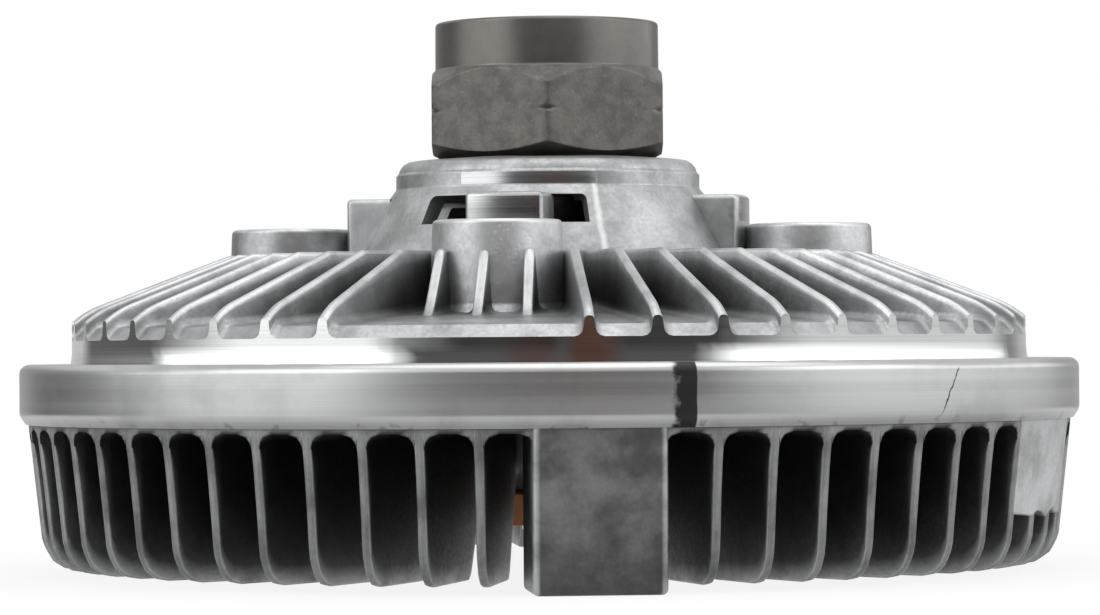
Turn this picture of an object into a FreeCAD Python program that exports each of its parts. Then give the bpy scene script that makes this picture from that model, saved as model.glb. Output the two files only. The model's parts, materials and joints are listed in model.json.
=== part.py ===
import FreeCAD, Part
import math
import os
from types import SimpleNamespace

import Sketcher
from FreeCAD import Placement, Rotation, Vector

# A viscous fan clutch, standing on its front cover with the drive nut up.
# The z axis is the shaft's axis, and z = 0 is the plane of the cover's standing pads.
# Angles are counted from the x axis, anticlockwise seen from the nut.

# Driving sizes in millimetres and degrees
SIZES = {
    # Outer ring, part of the cover casting
    "ring_radius": 83.0,
    "ring_bottom": 23.3,
    "ring_top": 32.7,
    "ring_round": 1.5,
    "ring_bevel_width": 1.3,
    "ring_bevel_height": 1.6,
    "lip_thickness": 1.5,
    "lip_inner_radius": 75.2,
    # Housing flange, held under the rolled lip
    "flange_radius": 79.0,
    "flange_thickness": 2.8,
    "fit_gap": 0.05,
    # Housing, outside
    "pilot_radius": 74.8,
    "pilot_top": 36.2,
    "floor_outer_radius": 73.0,
    "floor_outer_height": 38.3,
    "floor_inner_height": 42.0,
    "tower_foot_radius": 29.6,
    "tower_foot_height": 49.4,
    "tower_neck_radius": 24.8,
    "tower_neck_height": 58.5,
    "tower_ring_radius": 23.7,
    "tower_ring_bottom": 59.6,
    "tower_top": 64.1,
    "tower_round": 2.6,
    "tower_wall": 2.6,
    "tower_roof": 2.2,
    # Housing fins
    "fin_angle": -85.6,
    "fin_pitch": 7.5,
    "fin_run": 21,
    "fin_short_run": 3,
    "fin_ridge_width": 1.3,
    "fin_draft": 2.6,
    "fin_ridge_bevel": 0.35,
    "fin_root": 10.6,
    "fin_inner_radius": 26.0,
    "fin_bend_radius": 50.6,
    "fin_slope": 20.7,
    "fin_end_top": 39.3,
    "fin_round_radius": 70.5,
    "fin_round_clearance": 0.6,
    "cutter_overrun": 1,
    "fin_short_reach": 56.8,
    # Fan bosses and lugs
    "boss_circle_radius": 41.4,
    "boss_radius": 9.65,
    "boss_top": 53.8,
    "boss_angle": -100.5,
    "boss_count": 4,
    "tapped_hole_radius": 3.4,
    "tapped_hole_depth": 14.0,
    "lug_width": 12.0,
    "lug_stock": 1.5,
    "pilot_lug_radius": 31.75,
    "lug_top": 58.4,
    "lug_angle": -102.4,
    # Windows of the bearing tower
    "window_angle": -106.0,
    "window_span": 59.0,
    "window_bottom": 53.8,
    "window_top": 58.2,
    # Working chamber between housing and cover
    "chamber_radius": 71.4,
    "chamber_roof": 33.8,
    # Ball bearing, 20 x 47 x 14
    "bearing_bore_radius": 10.0,
    "bearing_radius": 23.5,
    "bearing_bottom": 36.6,
    "bearing_width": 14.0,
    "shoulder_thickness": 1.6,
    "shoulder_bore_radius": 17.0,
    "race_inner_shoulder": 14.0,
    "race_outer_shoulder": 19.6,
    "ball_radius": 3.97,
    "ball_count": 8,
    "ball_play": 0.1,
    "cage_half_thickness": 0.75,
    "cage_height": 9.6,
    "seal_radius": 20.5,
    "seal_thickness": 0.8,
    "seal_depth": 0.7,
    "seal_play": 0.15,
    # Circlip under the bearing
    "circlip_thickness": 1.75,
    "circlip_depth": 1.3,
    "circlip_inner_radius": 21.2,
    "circlip_gap_span": 24.0,
    # Drive shaft with its hexagon
    "hex_flats": 36.0,
    "hex_bottom": 64.45,
    "hex_top": 78.6,
    "hex_bottom_bevel_radius": 16.6,
    "hex_bottom_bevel_height": 2.05,
    "hex_top_bevel_height": 3.1,
    "hex_groove_height": 71.6,
    "hex_groove_half_width": 0.6,
    "hex_groove_radius": 20.1,
    "barrel_radius": 17.55,
    "shaft_top": 85.9,
    "barrel_bevel": 0.5,
    "drive_bore_radius": 14.2,
    "drive_bore_bottom": 66.0,
    "drive_bore_bevel": 0.8,
    "neck_bottom": 60.2,
    "waist_radius": 12.0,
    "collar_radius": 13.2,
    "collar_top": 52.8,
    "stub_radius": 8.5,
    "stub_bottom": 27.6,
    "stub_bevel": 0.6,
    "stub_shoulder": 35.0,
    # Rotor
    "rotor_radius": 70.4,
    "rotor_bottom": 30.2,
    "rotor_top": 33.0,
    "hub_radius": 15.0,
    "hub_bottom": 29.4,
    "rib_first_radius": 54.6,
    "rib_pitch": 4.2,
    "rib_count": 4,
    "rib_width": 1.6,
    "rib_gap": 0.5,
    "rib_end_gap": 0.6,
    "rotor_hole_radius": 3.0,
    "rotor_hole_circle_radius": 40.0,
    "rotor_hole_count": 6,
    "spacer_radius": 13.0,
    "shaft_clip_thickness": 1.0,
    "shaft_clip_radius": 11.0,
    "shaft_clip_depth": 0.6,
    "shaft_clip_gap_span": 50.0,
    # Cover
    "cover_floor_bottom": 17.0,
    "cover_floor_thickness": 3.0,
    "reservoir_radius": 45.5,
    "cover_cone_inner_radius": 46.0,
    "cover_cone_outer_radius": 54.0,
    "plate_seat_height": 26.0,
    "land_inner_radius": 51.9,
    "recess_machining": 0.8,
    "ring_machining": 0.5,
    # Cover fins and pads
    "cover_fin_angle": -91.0,
    "cover_fin_count": 60,
    "cover_fin_tip": 0.95,
    "cover_fin_tip_width": 1.35,
    "cover_fin_draft": 1.2,
    "cover_fin_tip_bevel": 0.35,
    "cover_fin_root_radius": 81.6,
    "cover_fin_low_radius": 79.6,
    "cover_fin_low_height": 5.0,
    "cover_fin_tip_radius": 74.4,
    "cover_fin_corner_radius": 78.0,
    "cover_fin_corner_height": 2.3,
    "cover_fin_inner_top_radius": 45.0,
    "cover_fin_inner_low_radius": 54.0,
    "cover_fin_inner_low_height": 1.7,
    "cover_fin_inner_tip_radius": 55.2,
    "pad_count": 3,
    "pad_width": 19.1,
    "pad_outer_radius": 80.7,
    "pad_inner_radius": 64.0,
    "weight_pad_bottom": 9.3,
    "weight_pad_inner_radius": 70.0,
    "weight_pad_pitches": 11.5,
    # Valve and its shaft
    "seat_boss_radius": 11.0,
    "seat_boss_foot_radius": 12.4,
    "seat_boss_bottom": 12.6,
    "inner_boss_radius": 7.5,
    "inner_boss_top": 23.4,
    "valve_shaft_radius": 3.5,
    "valve_play": 0.05,
    "valve_shaft_bottom": 6.2,
    "valve_foot_radius": 4.4,
    "valve_head_radius": 2.2,
    "arm_thickness": 1.2,
    "arm_reach": 36.0,
    "arm_width": 9.0,
    "arm_eye_radius": 6.5,
    "seal_groove_height": 19.2,
    "seal_groove_depth": 1.1,
    "seal_cord_radius": 0.55,
    "clip_thickness": 0.8,
    "clip_radius": 6.0,
    "clip_depth": 0.5,
    "clip_gap_span": 50.0,
    # Pump plate
    "plate_radius": 50.6,
    "plate_thickness": 0.8,
    "plate_port_radius": 2.2,
    "plate_port_circle_radius": 32.0,
    "plate_port_angle": -60.0,
    "plate_screw_circle_radius": 48.3,
    "plate_screw_count": 6,
    "plate_screw_radius": 1.25,
    "plate_screw_hole_radius": 1.32,
    "plate_screw_head_radius": 2.0,
    "plate_screw_head_height": 1.0,
    "plate_screw_length": 3.9,
    "wiper_length": 9.0,
    "wiper_width": 4.0,
    "wiper_height": 1.6,
    "wiper_circle_radius": 42.0,
    "wiper_angle": 40.0,
    # Rim seal
    "rim_seal_circle_radius": 76.6,
    "rim_seal_cord_radius": 0.84,
    "rim_seal_groove_width": 2.4,
    "rim_seal_groove_depth": 1.7,
    # Thermostatic coil and its post
    "coil_bottom": 7.4,
    "coil_width": 4.9,
    "coil_strip": 1.0,
    "coil_inner_radius": 6.2,
    "coil_outer_radius": 19.0,
    "coil_turns": 4.0,
    "coil_end_angle": 100.0,
    "slot_play": 0.1,
    "post_radius": 2.0,
    "post_gap": 0.05,
    "post_sink": 2.0,
    # Fill plug
    "plug_radius": 3.0,
    "plug_circle_radius": 34.0,
    "plug_angle": 150.0,
    "plug_head_radius": 4.2,
    "plug_head_height": 1.2,
}

NODE_FOLDER = "parts"
Z_AXIS = Vector(0, 0, 1)
ORIGIN = Vector(0, 0, 0)


class Size:
    """A size with its number and the words that bind it to the sheet."""

    def __init__(self, number, words):
        self.number = number
        self.words = words

    def __add__(self, other):
        other = as_size(other)
        return Size(self.number + other.number, f"({self.words} + {other.words})")

    def __sub__(self, other):
        other = as_size(other)
        return Size(self.number - other.number, f"({self.words} - {other.words})")

    def __mul__(self, other):
        other = as_size(other)
        return Size(self.number * other.number, f"({self.words} * {other.words})")

    def __truediv__(self, other):
        other = as_size(other)
        return Size(self.number / other.number, f"({self.words} / {other.words})")

    def __neg__(self):
        return Size(-self.number, f"(-1 * {self.words})")


def as_size(value):
    """A plain number becomes a size too."""
    if isinstance(value, Size):
        return value
    return Size(float(value), f"({value:.9f})")


def sin_of(angle):
    return Size(math.sin(math.radians(angle.number)), f"sin({angle.words})")


def cos_of(angle):
    return Size(math.cos(math.radians(angle.number)), f"cos({angle.words})")


def tan_of(angle):
    return Size(math.tan(math.radians(angle.number)), f"tan({angle.words})")


# The document and its sheet of sizes
doc = FreeCAD.newDocument("ViscousFanClutch")
sheet = doc.addObject("Spreadsheet::Sheet", "Sizes")
for row, (alias, value) in enumerate(SIZES.items(), start=1):
    sheet.set(f"A{row}", alias)
    sheet.set(f"B{row}", str(value))
    sheet.setAlias(f"B{row}", alias)
doc.recompute()
S = SimpleNamespace(**{alias: Size(value, f"Sizes.{alias}") for alias, value in SIZES.items()})
ZERO = as_size(0)


# Helpers for bodies, sketches and their features
def new_body(name, turn=None):
    """A body whose label is the sub-part's name, turned about the z axis."""
    body = doc.addObject("PartDesign::Body", name)
    body.Label = name
    if turn is not None:
        body.Placement = Placement(ORIGIN, Rotation(Z_AXIS, turn.number))
        body.setExpression(".Placement.Rotation.Angle", turn.words)
    return body


def origin_feature(body, role):
    for feature in body.Origin.OriginFeatures:
        if feature.Role == role:
            return feature
    raise ValueError(f"{body.Label} has no {role}")


def new_sketch(body, name, role, turn=None, lift=None):
    """A sketch on one of the body's own planes, turned about z and lifted along the plane's normal."""
    sketch = body.newObject("Sketcher::SketchObject", name)
    sketch.AttachmentSupport = [(origin_feature(body, role), "")]
    sketch.MapMode = "FlatFace"
    turn_axis = Z_AXIS if role == "XY_Plane" else Vector(0, 1, 0)
    angle = turn.number if turn is not None else 0
    height = lift.number if lift is not None else 0
    sketch.AttachmentOffset = Placement(Vector(0, 0, height), Rotation(turn_axis, angle))
    if turn is not None:
        sketch.setExpression(".AttachmentOffset.Rotation.Angle", turn.words)
    if lift is not None:
        sketch.setExpression(".AttachmentOffset.Base.z", lift.words)
    return sketch


def hold(sketch, kind, geometry, point, size):
    """A distance of one sketch point from the sketch's origin, bound to the sheet."""
    constraint = sketch.addConstraint(
        Sketcher.Constraint(kind, -1, 1, geometry, point, size.number))
    sketch.setExpression(f"Constraints[{constraint}]", size.words)


def outline(sketch, corners):
    """A closed outline of straight lines through the corners, each held by its two sizes."""
    corners = [(as_size(x), as_size(y)) for x, y in corners]
    points = [Vector(x.number, y.number, 0) for x, y in corners]
    first = sketch.GeometryCount
    count = len(points)
    lines = [Part.LineSegment(points[i], points[(i + 1) % count]) for i in range(count)]
    sketch.addGeometry(lines, False)
    for i in range(count):
        following = first + (i + 1) % count
        sketch.addConstraint(Sketcher.Constraint("Coincident", first + i, 2, following, 1))
    for i, (x, y) in enumerate(corners):
        hold(sketch, "DistanceX", first + i, 1, x)
        hold(sketch, "DistanceY", first + i, 1, y)
    return sketch


def disc(sketch, x, y, radius):
    """A circle with its centre and radius bound to the sheet."""
    x, y = as_size(x), as_size(y)
    circle = Part.Circle(Vector(x.number, y.number, 0), Z_AXIS, radius.number)
    index = sketch.addGeometry(circle, False)
    hold(sketch, "DistanceX", index, 3, x)
    hold(sketch, "DistanceY", index, 3, y)
    constraint = sketch.addConstraint(Sketcher.Constraint("Radius", index, radius.number))
    sketch.setExpression(f"Constraints[{constraint}]", radius.words)
    return sketch


def check_change(body, feature, grows):
    """A feature must add or remove material; a wrong direction would do neither."""
    body.Tip = feature
    doc.recompute()
    before = feature.BaseFeature.Shape.Volume if feature.BaseFeature else 0.0
    change = feature.Shape.Volume - before
    if (change > 0) != grows or change == 0:
        raise ValueError(f"{body.Label}.{feature.Name} changes the volume by {change:.3f}")
    return feature


def turned(body, name, sketch, cut=False, span=None):
    """A profile turned about the z axis: a full turn, or a span centred on its plane."""
    kind = "PartDesign::Groove" if cut else "PartDesign::Revolution"
    feature = body.newObject(kind, name)
    feature.Profile = sketch
    feature.ReferenceAxis = (origin_feature(body, "Z_Axis"), [""])
    feature.Angle = 360 if span is None else span.number
    if span is not None:
        feature.Midplane = True
        feature.setExpression("Angle", span.words)
    feature.Refine = False
    return check_change(body, feature, not cut)


def extruded(body, name, sketch, length, cut=False, backwards=False, both_ways=False, way=None):
    """A profile pushed along its normal, or along a way of its own."""
    feature = body.newObject("PartDesign::Pocket" if cut else "PartDesign::Pad", name)
    feature.Profile = sketch
    feature.Length = length.number
    feature.setExpression("Length", length.words)
    feature.Reversed = backwards
    feature.Midplane = both_ways
    if way is not None:
        feature.UseCustomVector = True
        feature.AlongSketchNormal = False
        feature.Direction = Vector(*[as_size(part).number for part in way])
        for axis, part in zip("xyz", way):
            feature.setExpression(f"Direction.{axis}", as_size(part).words)
    feature.Refine = False
    return check_change(body, feature, not cut)


def repeated(body, name, features, turns, cut=False):
    """Copies of some features round the z axis; each turn is a pitch and a number of places."""
    pattern = body.newObject("PartDesign::MultiTransform", name)
    pattern.Originals = features
    steps = []
    for number, (pitch, count) in enumerate(turns, start=1):
        step = body.newObject("PartDesign::PolarPattern", f"{name}_step{number}")
        step.Axis = (origin_feature(body, "Z_Axis"), [""])
        step.Mode = "Spacing"
        step.Offset = pitch.number
        step.setExpression("Offset", pitch.words)
        step.Occurrences = int(round(count.number))
        step.setExpression("Occurrences", count.words)
        steps.append(step)
    pattern.Transformations = steps
    pattern.Refine = False
    return check_change(body, pattern, not cut)


def full_turn(count):
    """The pitch and number of places of a pattern that goes all the way round."""
    return [(as_size(360) / count, count)]


def rim_edges(shape, radius, height):
    """The names of the circular edges at a radius and height about the z axis."""
    names = []
    for number, edge in enumerate(shape.Edges, start=1):
        curve = edge.Curve
        if not isinstance(curve, Part.Circle):
            continue
        on_axis = math.hypot(curve.Center.x, curve.Center.y) < 0.01
        same_height = abs(curve.Center.z - height.number) < 0.01
        if on_axis and same_height and abs(curve.Radius - radius.number) < 0.01:
            names.append(f"Edge{number}")
    if not names:
        raise ValueError(f"no edge at radius {radius.number} and height {height.number}")
    return names


def rounded(body, name, rims, radius, kind="PartDesign::Fillet"):
    """A fillet or chamfer on circular edges, each given by its radius and height."""
    base = body.Tip
    feature = body.newObject(kind, name)
    names = [edge for rim in rims for edge in rim_edges(base.Shape, *rim)]
    feature.Base = (base, names)
    field = "Radius" if kind.endswith("Fillet") else "Size"
    setattr(feature, field, radius.number)
    feature.setExpression(field, radius.words)
    body.Tip = feature
    doc.recompute()
    return feature


def tube(name, inner, outer, bottom, height):
    """A plain ring of rectangular section, as a body of one turned profile."""
    body = new_body(name)
    sketch = new_sketch(body, f"{name}_section", "XZ_Plane")
    top = bottom + height
    outline(sketch, [(inner, bottom), (outer, bottom), (outer, top), (inner, top)])
    turned(body, f"{name}_ring", sketch)
    return body


def gap_in_ring(body, inner, outer, bottom, height, span, turn):
    """An opening cut out of a ring, so that it springs: a circlip's gap."""
    sketch = new_sketch(body, "spring_gap_section", "XZ_Plane", turn=turn)
    start = inner - S.cutter_overrun
    end = outer + S.cutter_overrun
    low = bottom - S.cutter_overrun
    top = bottom + height + S.cutter_overrun
    outline(sketch, [(start, low), (end, low), (end, top), (start, top)])
    turned(body, "spring_gap", sketch, cut=True, span=span)


# Heights and radii that follow from the driving sizes
flange_top = S.ring_top - S.lip_thickness
flange_bottom = flange_top - S.flange_thickness
plate_top = S.plate_seat_height + S.plate_thickness
rib_tip = plate_top + S.rib_end_gap
land_top = S.rotor_bottom - S.rib_end_gap
bearing_top = S.bearing_bottom + S.bearing_width
shoulder_top = bearing_top + S.shoulder_thickness
bearing_middle = S.bearing_bottom + S.bearing_width / 2
ball_circle_radius = (S.race_inner_shoulder + S.race_outer_shoulder) / 2
hex_corner_radius = S.hex_flats / math.sqrt(3)
cover_fin_pitch = as_size(360) / S.cover_fin_count
seal_seat_bottom = flange_bottom - S.rim_seal_groove_depth
cover_floor_top = S.cover_floor_bottom + S.cover_floor_thickness


def tower_radius(height):
    """The tower's outer radius on its cone."""
    rise = (height - S.tower_foot_height) / (S.tower_neck_height - S.tower_foot_height)
    return S.tower_foot_radius - (S.tower_foot_radius - S.tower_neck_radius) * rise


def housing_fin_section(body, name, radius, top):
    """A fin's section across a radius: flanks with draft and a ridge with its edges broken."""
    half_ridge = S.fin_ridge_width / 2
    half_root = half_ridge + S.fin_root * tan_of(S.fin_draft)
    shoulder = top - S.fin_ridge_bevel
    flat = half_ridge - S.fin_ridge_bevel
    root = top - S.fin_root
    sketch = new_sketch(body, name, "YZ_Plane", lift=radius)
    outline(sketch, [(-half_root, root), (half_root, root), (half_ridge, shoulder),
                     (flat, top), (-flat, top), (-half_ridge, shoulder)])
    return sketch


def make_housing():
    """The engine-side casting: rim, fins, bosses, lugs and the windowed bearing tower."""
    body = new_body("housing", turn=S.fin_angle)

    # Outside form, solid inside; the rim keeps stock for its turning
    stock = S.pilot_radius + S.ring_machining
    sketch = new_sketch(body, "casting_profile", "XZ_Plane")
    outline(sketch, [
        (ZERO, flange_bottom), (S.flange_radius, flange_bottom), (S.flange_radius, flange_top),
        (stock, flange_top), (stock, S.pilot_top), (S.floor_outer_radius, S.floor_outer_height),
        (S.tower_foot_radius, S.floor_inner_height), (S.tower_foot_radius, S.tower_foot_height),
        (S.tower_neck_radius, S.tower_neck_height), (S.tower_ring_radius, S.tower_ring_bottom),
        (S.tower_ring_radius, S.tower_top), (ZERO, S.tower_top)])
    turned(body, "casting", sketch)
    rounded(body, "tower_rounding", [(S.tower_ring_radius, S.tower_top)], S.tower_round)
    make_tower_windows(body)
    make_bosses_and_lugs(body)

    # Fins: level near the tower, then sloping down to the rim
    level_top = S.tower_foot_height
    section = housing_fin_section(body, "fin_section", S.fin_bend_radius, level_top)
    level = extruded(body, "fin_level", section, S.fin_bend_radius - S.fin_inner_radius,
                     backwards=True)
    run = (stock - S.fin_bend_radius) / cos_of(S.fin_slope)
    slope_section = housing_fin_section(body, "fin_slope_section", S.fin_bend_radius, level_top)
    slope = extruded(body, "fin_sloping", slope_section, run,
                     way=(cos_of(S.fin_slope), 0, -sin_of(S.fin_slope)))
    repeated(body, "fins", [level, slope],
             [(S.fin_pitch, S.fin_run), (as_size(180), as_size(2))])
    make_short_fins(body)

    # Turning of the rim trims the fins' ends flush and leaves the pilot cylinder
    clear = S.ring_radius
    start = S.fin_round_radius
    ridge = level_top - (start - S.fin_bend_radius) * tan_of(S.fin_slope)
    sketch = new_sketch(body, "rim_turning_profile", "XZ_Plane")
    outline(sketch, [
        (S.pilot_radius, flange_top), (clear, flange_top), (clear, level_top), (start, level_top),
        (start, ridge + S.fin_round_clearance), (S.pilot_radius, S.fin_end_top)])
    turned(body, "rim_turning", sketch, cut=True)
    make_housing_bores(body)
    make_tapped_holes(body)
    return body


def make_short_fins(body):
    """Three ribs outside the front and back bosses, which stop short of the rim."""
    turn = -S.fin_pitch * S.fin_short_run
    sketch = new_sketch(body, "short_fin_outline", "XZ_Plane", turn=turn)
    inner = S.fin_inner_radius
    root = S.fin_root
    outline(sketch, [
        (inner, S.tower_foot_height - root), (S.fin_short_reach, S.floor_outer_height - root / 4),
        (S.fin_short_reach, S.floor_outer_height + S.fin_ridge_width),
        (S.fin_bend_radius, S.tower_foot_height), (inner, S.tower_foot_height)])
    width = S.fin_ridge_width + S.fin_root * tan_of(S.fin_draft)
    short = extruded(body, "short_fin", sketch, width, both_ways=True)
    repeated(body, "short_fins", [short],
             [(S.fin_pitch, S.fin_short_run), (as_size(180), as_size(2))])


def make_tower_windows(body):
    """Four openings through the tower's wall."""
    sketch = new_sketch(body, "window_profile", "XZ_Plane", turn=S.window_angle - S.fin_angle)
    inner = S.tower_neck_radius - S.tower_wall * 2
    outer = S.tower_foot_radius + S.cutter_overrun
    outline(sketch, [(inner, S.window_bottom), (outer, S.window_bottom),
                     (outer, S.window_top), (inner, S.window_top)])
    window = turned(body, "window", sketch, cut=True, span=S.window_span)
    repeated(body, "windows", [window], full_turn(S.boss_count), cut=True)


def make_bosses_and_lugs(body):
    """Round fan bosses, and square lugs whose outer ends are turned to centre the fan."""
    root = S.floor_outer_height
    sketch = new_sketch(body, "boss_outline", "XY_Plane", turn=S.boss_angle - S.fin_angle, lift=root)
    disc(sketch, S.boss_circle_radius, 0, S.boss_radius)
    boss = extruded(body, "boss", sketch, S.boss_top - root)
    repeated(body, "bosses", [boss], full_turn(S.boss_count))

    sketch = new_sketch(body, "lug_outline", "XY_Plane", turn=S.lug_angle - S.fin_angle, lift=root)
    half = S.lug_width / 2
    inner = S.tower_neck_radius - S.tower_wall * 2
    outer = S.pilot_lug_radius + S.lug_stock
    clear = outer + S.cutter_overrun
    above = S.lug_top + S.cutter_overrun
    outline(sketch, [(inner, -half), (outer, -half), (outer, half), (inner, half)])
    lug = extruded(body, "lug", sketch, S.lug_top - root)
    repeated(body, "lugs", [lug], full_turn(S.boss_count))

    sketch = new_sketch(body, "pilot_turning_profile", "XZ_Plane")
    outline(sketch, [(S.pilot_lug_radius, S.boss_top), (clear, S.boss_top),
                     (clear, above), (S.pilot_lug_radius, above)])
    turned(body, "pilot_turning", sketch, cut=True)


def make_tapped_holes(body):
    """The bosses' blind holes for the fan's bolts."""
    sketch = new_sketch(body, "tapped_hole_outline", "XY_Plane", lift=S.boss_top)
    for number in range(int(S.boss_count.number)):
        angle = S.boss_angle - S.fin_angle + as_size(360) / S.boss_count * number
        disc(sketch, S.boss_circle_radius * cos_of(angle), S.boss_circle_radius * sin_of(angle),
             S.tapped_hole_radius)
    extruded(body, "tapped_holes", sketch, S.tapped_hole_depth, cut=True)


def make_housing_bores(body):
    """Everything turned from below and above: chamber, bearing seat, tower cavity."""
    groove = S.bearing_radius + S.circlip_depth
    cavity_top = S.tower_ring_bottom - S.tower_roof + S.cutter_overrun
    wall_low = tower_radius(shoulder_top) - S.tower_wall
    wall_high = tower_radius(cavity_top) - S.tower_wall
    bore = S.hex_bottom_bevel_radius + S.cutter_overrun
    below = flange_bottom - S.cutter_overrun
    sketch = new_sketch(body, "bores_profile", "XZ_Plane")
    outline(sketch, [
        (ZERO, below), (S.chamber_radius, below), (S.chamber_radius, S.chamber_roof),
        (S.bearing_radius, S.chamber_roof), (S.bearing_radius, S.bearing_bottom - S.circlip_thickness),
        (groove, S.bearing_bottom - S.circlip_thickness), (groove, S.bearing_bottom),
        (S.bearing_radius, S.bearing_bottom), (S.bearing_radius, bearing_top),
        (S.shoulder_bore_radius, bearing_top), (S.shoulder_bore_radius, shoulder_top),
        (wall_low, shoulder_top), (wall_high, cavity_top), (bore, cavity_top),
        (bore, S.tower_top + S.cutter_overrun), (ZERO, S.tower_top + S.cutter_overrun)])
    turned(body, "bores", sketch, cut=True)


def make_cover():
    """The front casting: outer ring with its rolled lip, fluid reservoir, lands, fins and pads."""
    body = new_body("cover", turn=S.cover_fin_angle)
    floor_bottom = S.cover_floor_bottom - S.recess_machining
    web_bottom = S.ring_bottom - S.ring_machining
    sketch = new_sketch(body, "casting_profile", "XZ_Plane")
    seat = flange_bottom - S.fit_gap
    seal_half = S.rim_seal_groove_width / 2
    seal_out = S.rim_seal_circle_radius + seal_half
    seal_in = S.rim_seal_circle_radius - seal_half
    corners = [
        (ZERO, S.seat_boss_bottom), (S.seat_boss_radius, S.seat_boss_bottom),
        (S.seat_boss_foot_radius, floor_bottom), (S.cover_cone_inner_radius, floor_bottom),
        (S.cover_cone_outer_radius, web_bottom), (S.ring_radius, web_bottom),
        (S.ring_radius, S.ring_top), (S.lip_inner_radius, S.ring_top),
        (S.lip_inner_radius, flange_top), (S.flange_radius + S.fit_gap, flange_top),
        (S.flange_radius + S.fit_gap, seat), (seal_out, seat), (seal_out, seal_seat_bottom),
        (seal_in, seal_seat_bottom), (seal_in, seat), (S.chamber_radius, seat),
        (S.chamber_radius, plate_top)]
    corners += land_corners()
    corners += [
        (S.land_inner_radius, land_top), (S.plate_radius + S.fit_gap, land_top),
        (S.plate_radius + S.fit_gap, S.plate_seat_height), (S.reservoir_radius, S.plate_seat_height),
        (S.reservoir_radius, cover_floor_top), (S.inner_boss_radius, cover_floor_top),
        (S.inner_boss_radius, S.inner_boss_top), (ZERO, S.inner_boss_top)]
    outline(sketch, corners)
    turned(body, "casting", sketch)
    rounded(body, "ring_rounding", [(S.ring_radius, S.ring_top)], S.ring_round)

    # Bore for the valve's shaft, and the holes for screws, post and plug
    sketch = new_sketch(body, "valve_bore_outline", "XY_Plane", lift=S.seat_boss_bottom)
    disc(sketch, 0, 0, S.valve_shaft_radius + S.valve_play)
    extruded(body, "valve_bore", sketch, S.inner_boss_top - S.seat_boss_bottom, cut=True,
             backwards=True)
    make_cover_holes(body)

    make_weight_pad(body)
    make_cover_fins(body)
    turn_cover_outside(body)
    make_standing_pads(body)
    return body


def land_corners():
    """The grooves for the rotor's ribs, from the outermost, open one inwards."""
    corners = []
    last = int(S.rib_count.number) - 1
    for number in reversed(range(last + 1)):
        inner = S.rib_first_radius + S.rib_pitch * number - S.rib_gap
        outer = inner + S.rib_width + S.rib_gap * 2
        if number < last:
            corners += [(outer, land_top), (outer, plate_top)]
        corners += [(inner, plate_top), (inner, land_top)]
    return corners


def make_cover_fins(body):
    """A fin's section across a radius, widest at its root, pushed outwards and repeated."""
    half_tip = S.cover_fin_tip_width / 2
    root = S.ring_bottom + S.ring_machining
    half_root = half_tip + (root - S.cover_fin_tip) * tan_of(S.cover_fin_draft)
    start = S.cover_fin_inner_top_radius - S.cover_floor_thickness
    reach = S.ring_radius - S.ring_machining - start
    sketch = new_sketch(body, "fin_section", "YZ_Plane", lift=start)
    bevel = S.cover_fin_tip_bevel
    outline(sketch, [
        (half_tip - bevel, S.cover_fin_tip), (half_tip, S.cover_fin_tip + bevel), (half_root, root),
        (-half_root, root), (-half_tip, S.cover_fin_tip + bevel), (bevel - half_tip, S.cover_fin_tip)])
    fin = extruded(body, "fin", sketch, reach)
    repeated(body, "fins", [fin], full_turn(S.cover_fin_count))


def make_weight_pad(body):
    """A pad of part height that fills the space between four fins, drilled or left for balance."""
    turn = cover_fin_pitch * S.weight_pad_pitches
    sketch = new_sketch(body, "weight_pad_profile", "XZ_Plane", turn=turn)
    outline(sketch, [
        (S.weight_pad_inner_radius, S.weight_pad_bottom), (S.ring_radius, S.weight_pad_bottom),
        (S.ring_radius, S.ring_bottom), (S.weight_pad_inner_radius, S.ring_bottom + S.ring_machining)])
    turned(body, "weight_pad", sketch, span=cover_fin_pitch * 3)


def turn_cover_outside(body):
    """Turning of the fins' outer ends and the ring's lower edge, and of the recess for the coil."""
    clear = S.ring_radius + S.cutter_overrun
    below = -S.cover_fin_tip
    sketch = new_sketch(body, "outside_turning_profile", "XZ_Plane")
    outline(sketch, [
        (S.cover_fin_tip_radius, S.cover_fin_tip), (S.cover_fin_corner_radius, S.cover_fin_corner_height),
        (S.cover_fin_low_radius, S.cover_fin_low_height), (S.cover_fin_root_radius, S.ring_bottom),
        (S.ring_radius - S.ring_bevel_width, S.ring_bottom),
        (S.ring_radius, S.ring_bottom + S.ring_bevel_height),
        (clear, S.ring_bottom + S.ring_bevel_height), (clear, below), (S.cover_fin_tip_radius, below)])
    turned(body, "outside_turning", sketch, cut=True)
    sketch = new_sketch(body, "recess_turning_profile", "XZ_Plane")
    outline(sketch, [
        (S.seat_boss_foot_radius, below), (S.cover_fin_inner_tip_radius, below),
        (S.cover_fin_inner_tip_radius, S.cover_fin_tip),
        (S.cover_fin_inner_low_radius, S.cover_fin_inner_low_height),
        (S.cover_fin_inner_top_radius, S.cover_floor_bottom),
        (S.seat_boss_foot_radius, S.cover_floor_bottom)])
    turned(body, "recess_turning", sketch, cut=True)


def make_standing_pads(body):
    """Solid blocks, each over three fins, that the part stands on."""
    half = S.pad_width / 2
    sketch = new_sketch(body, "pad_outlines", "XY_Plane")
    for number in range(int(S.pad_count.number)):
        angle = cover_fin_pitch + as_size(360) / S.pad_count * number
        across, along = cos_of(angle), sin_of(angle)
        outline(sketch, [(across * radius - along * side, along * radius + across * side)
                         for radius, side in ((S.pad_inner_radius, -half), (S.pad_outer_radius, -half),
                                              (S.pad_outer_radius, half), (S.pad_inner_radius, half))])
    extruded(body, "pads", sketch, S.ring_bottom + S.ring_machining)


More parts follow.
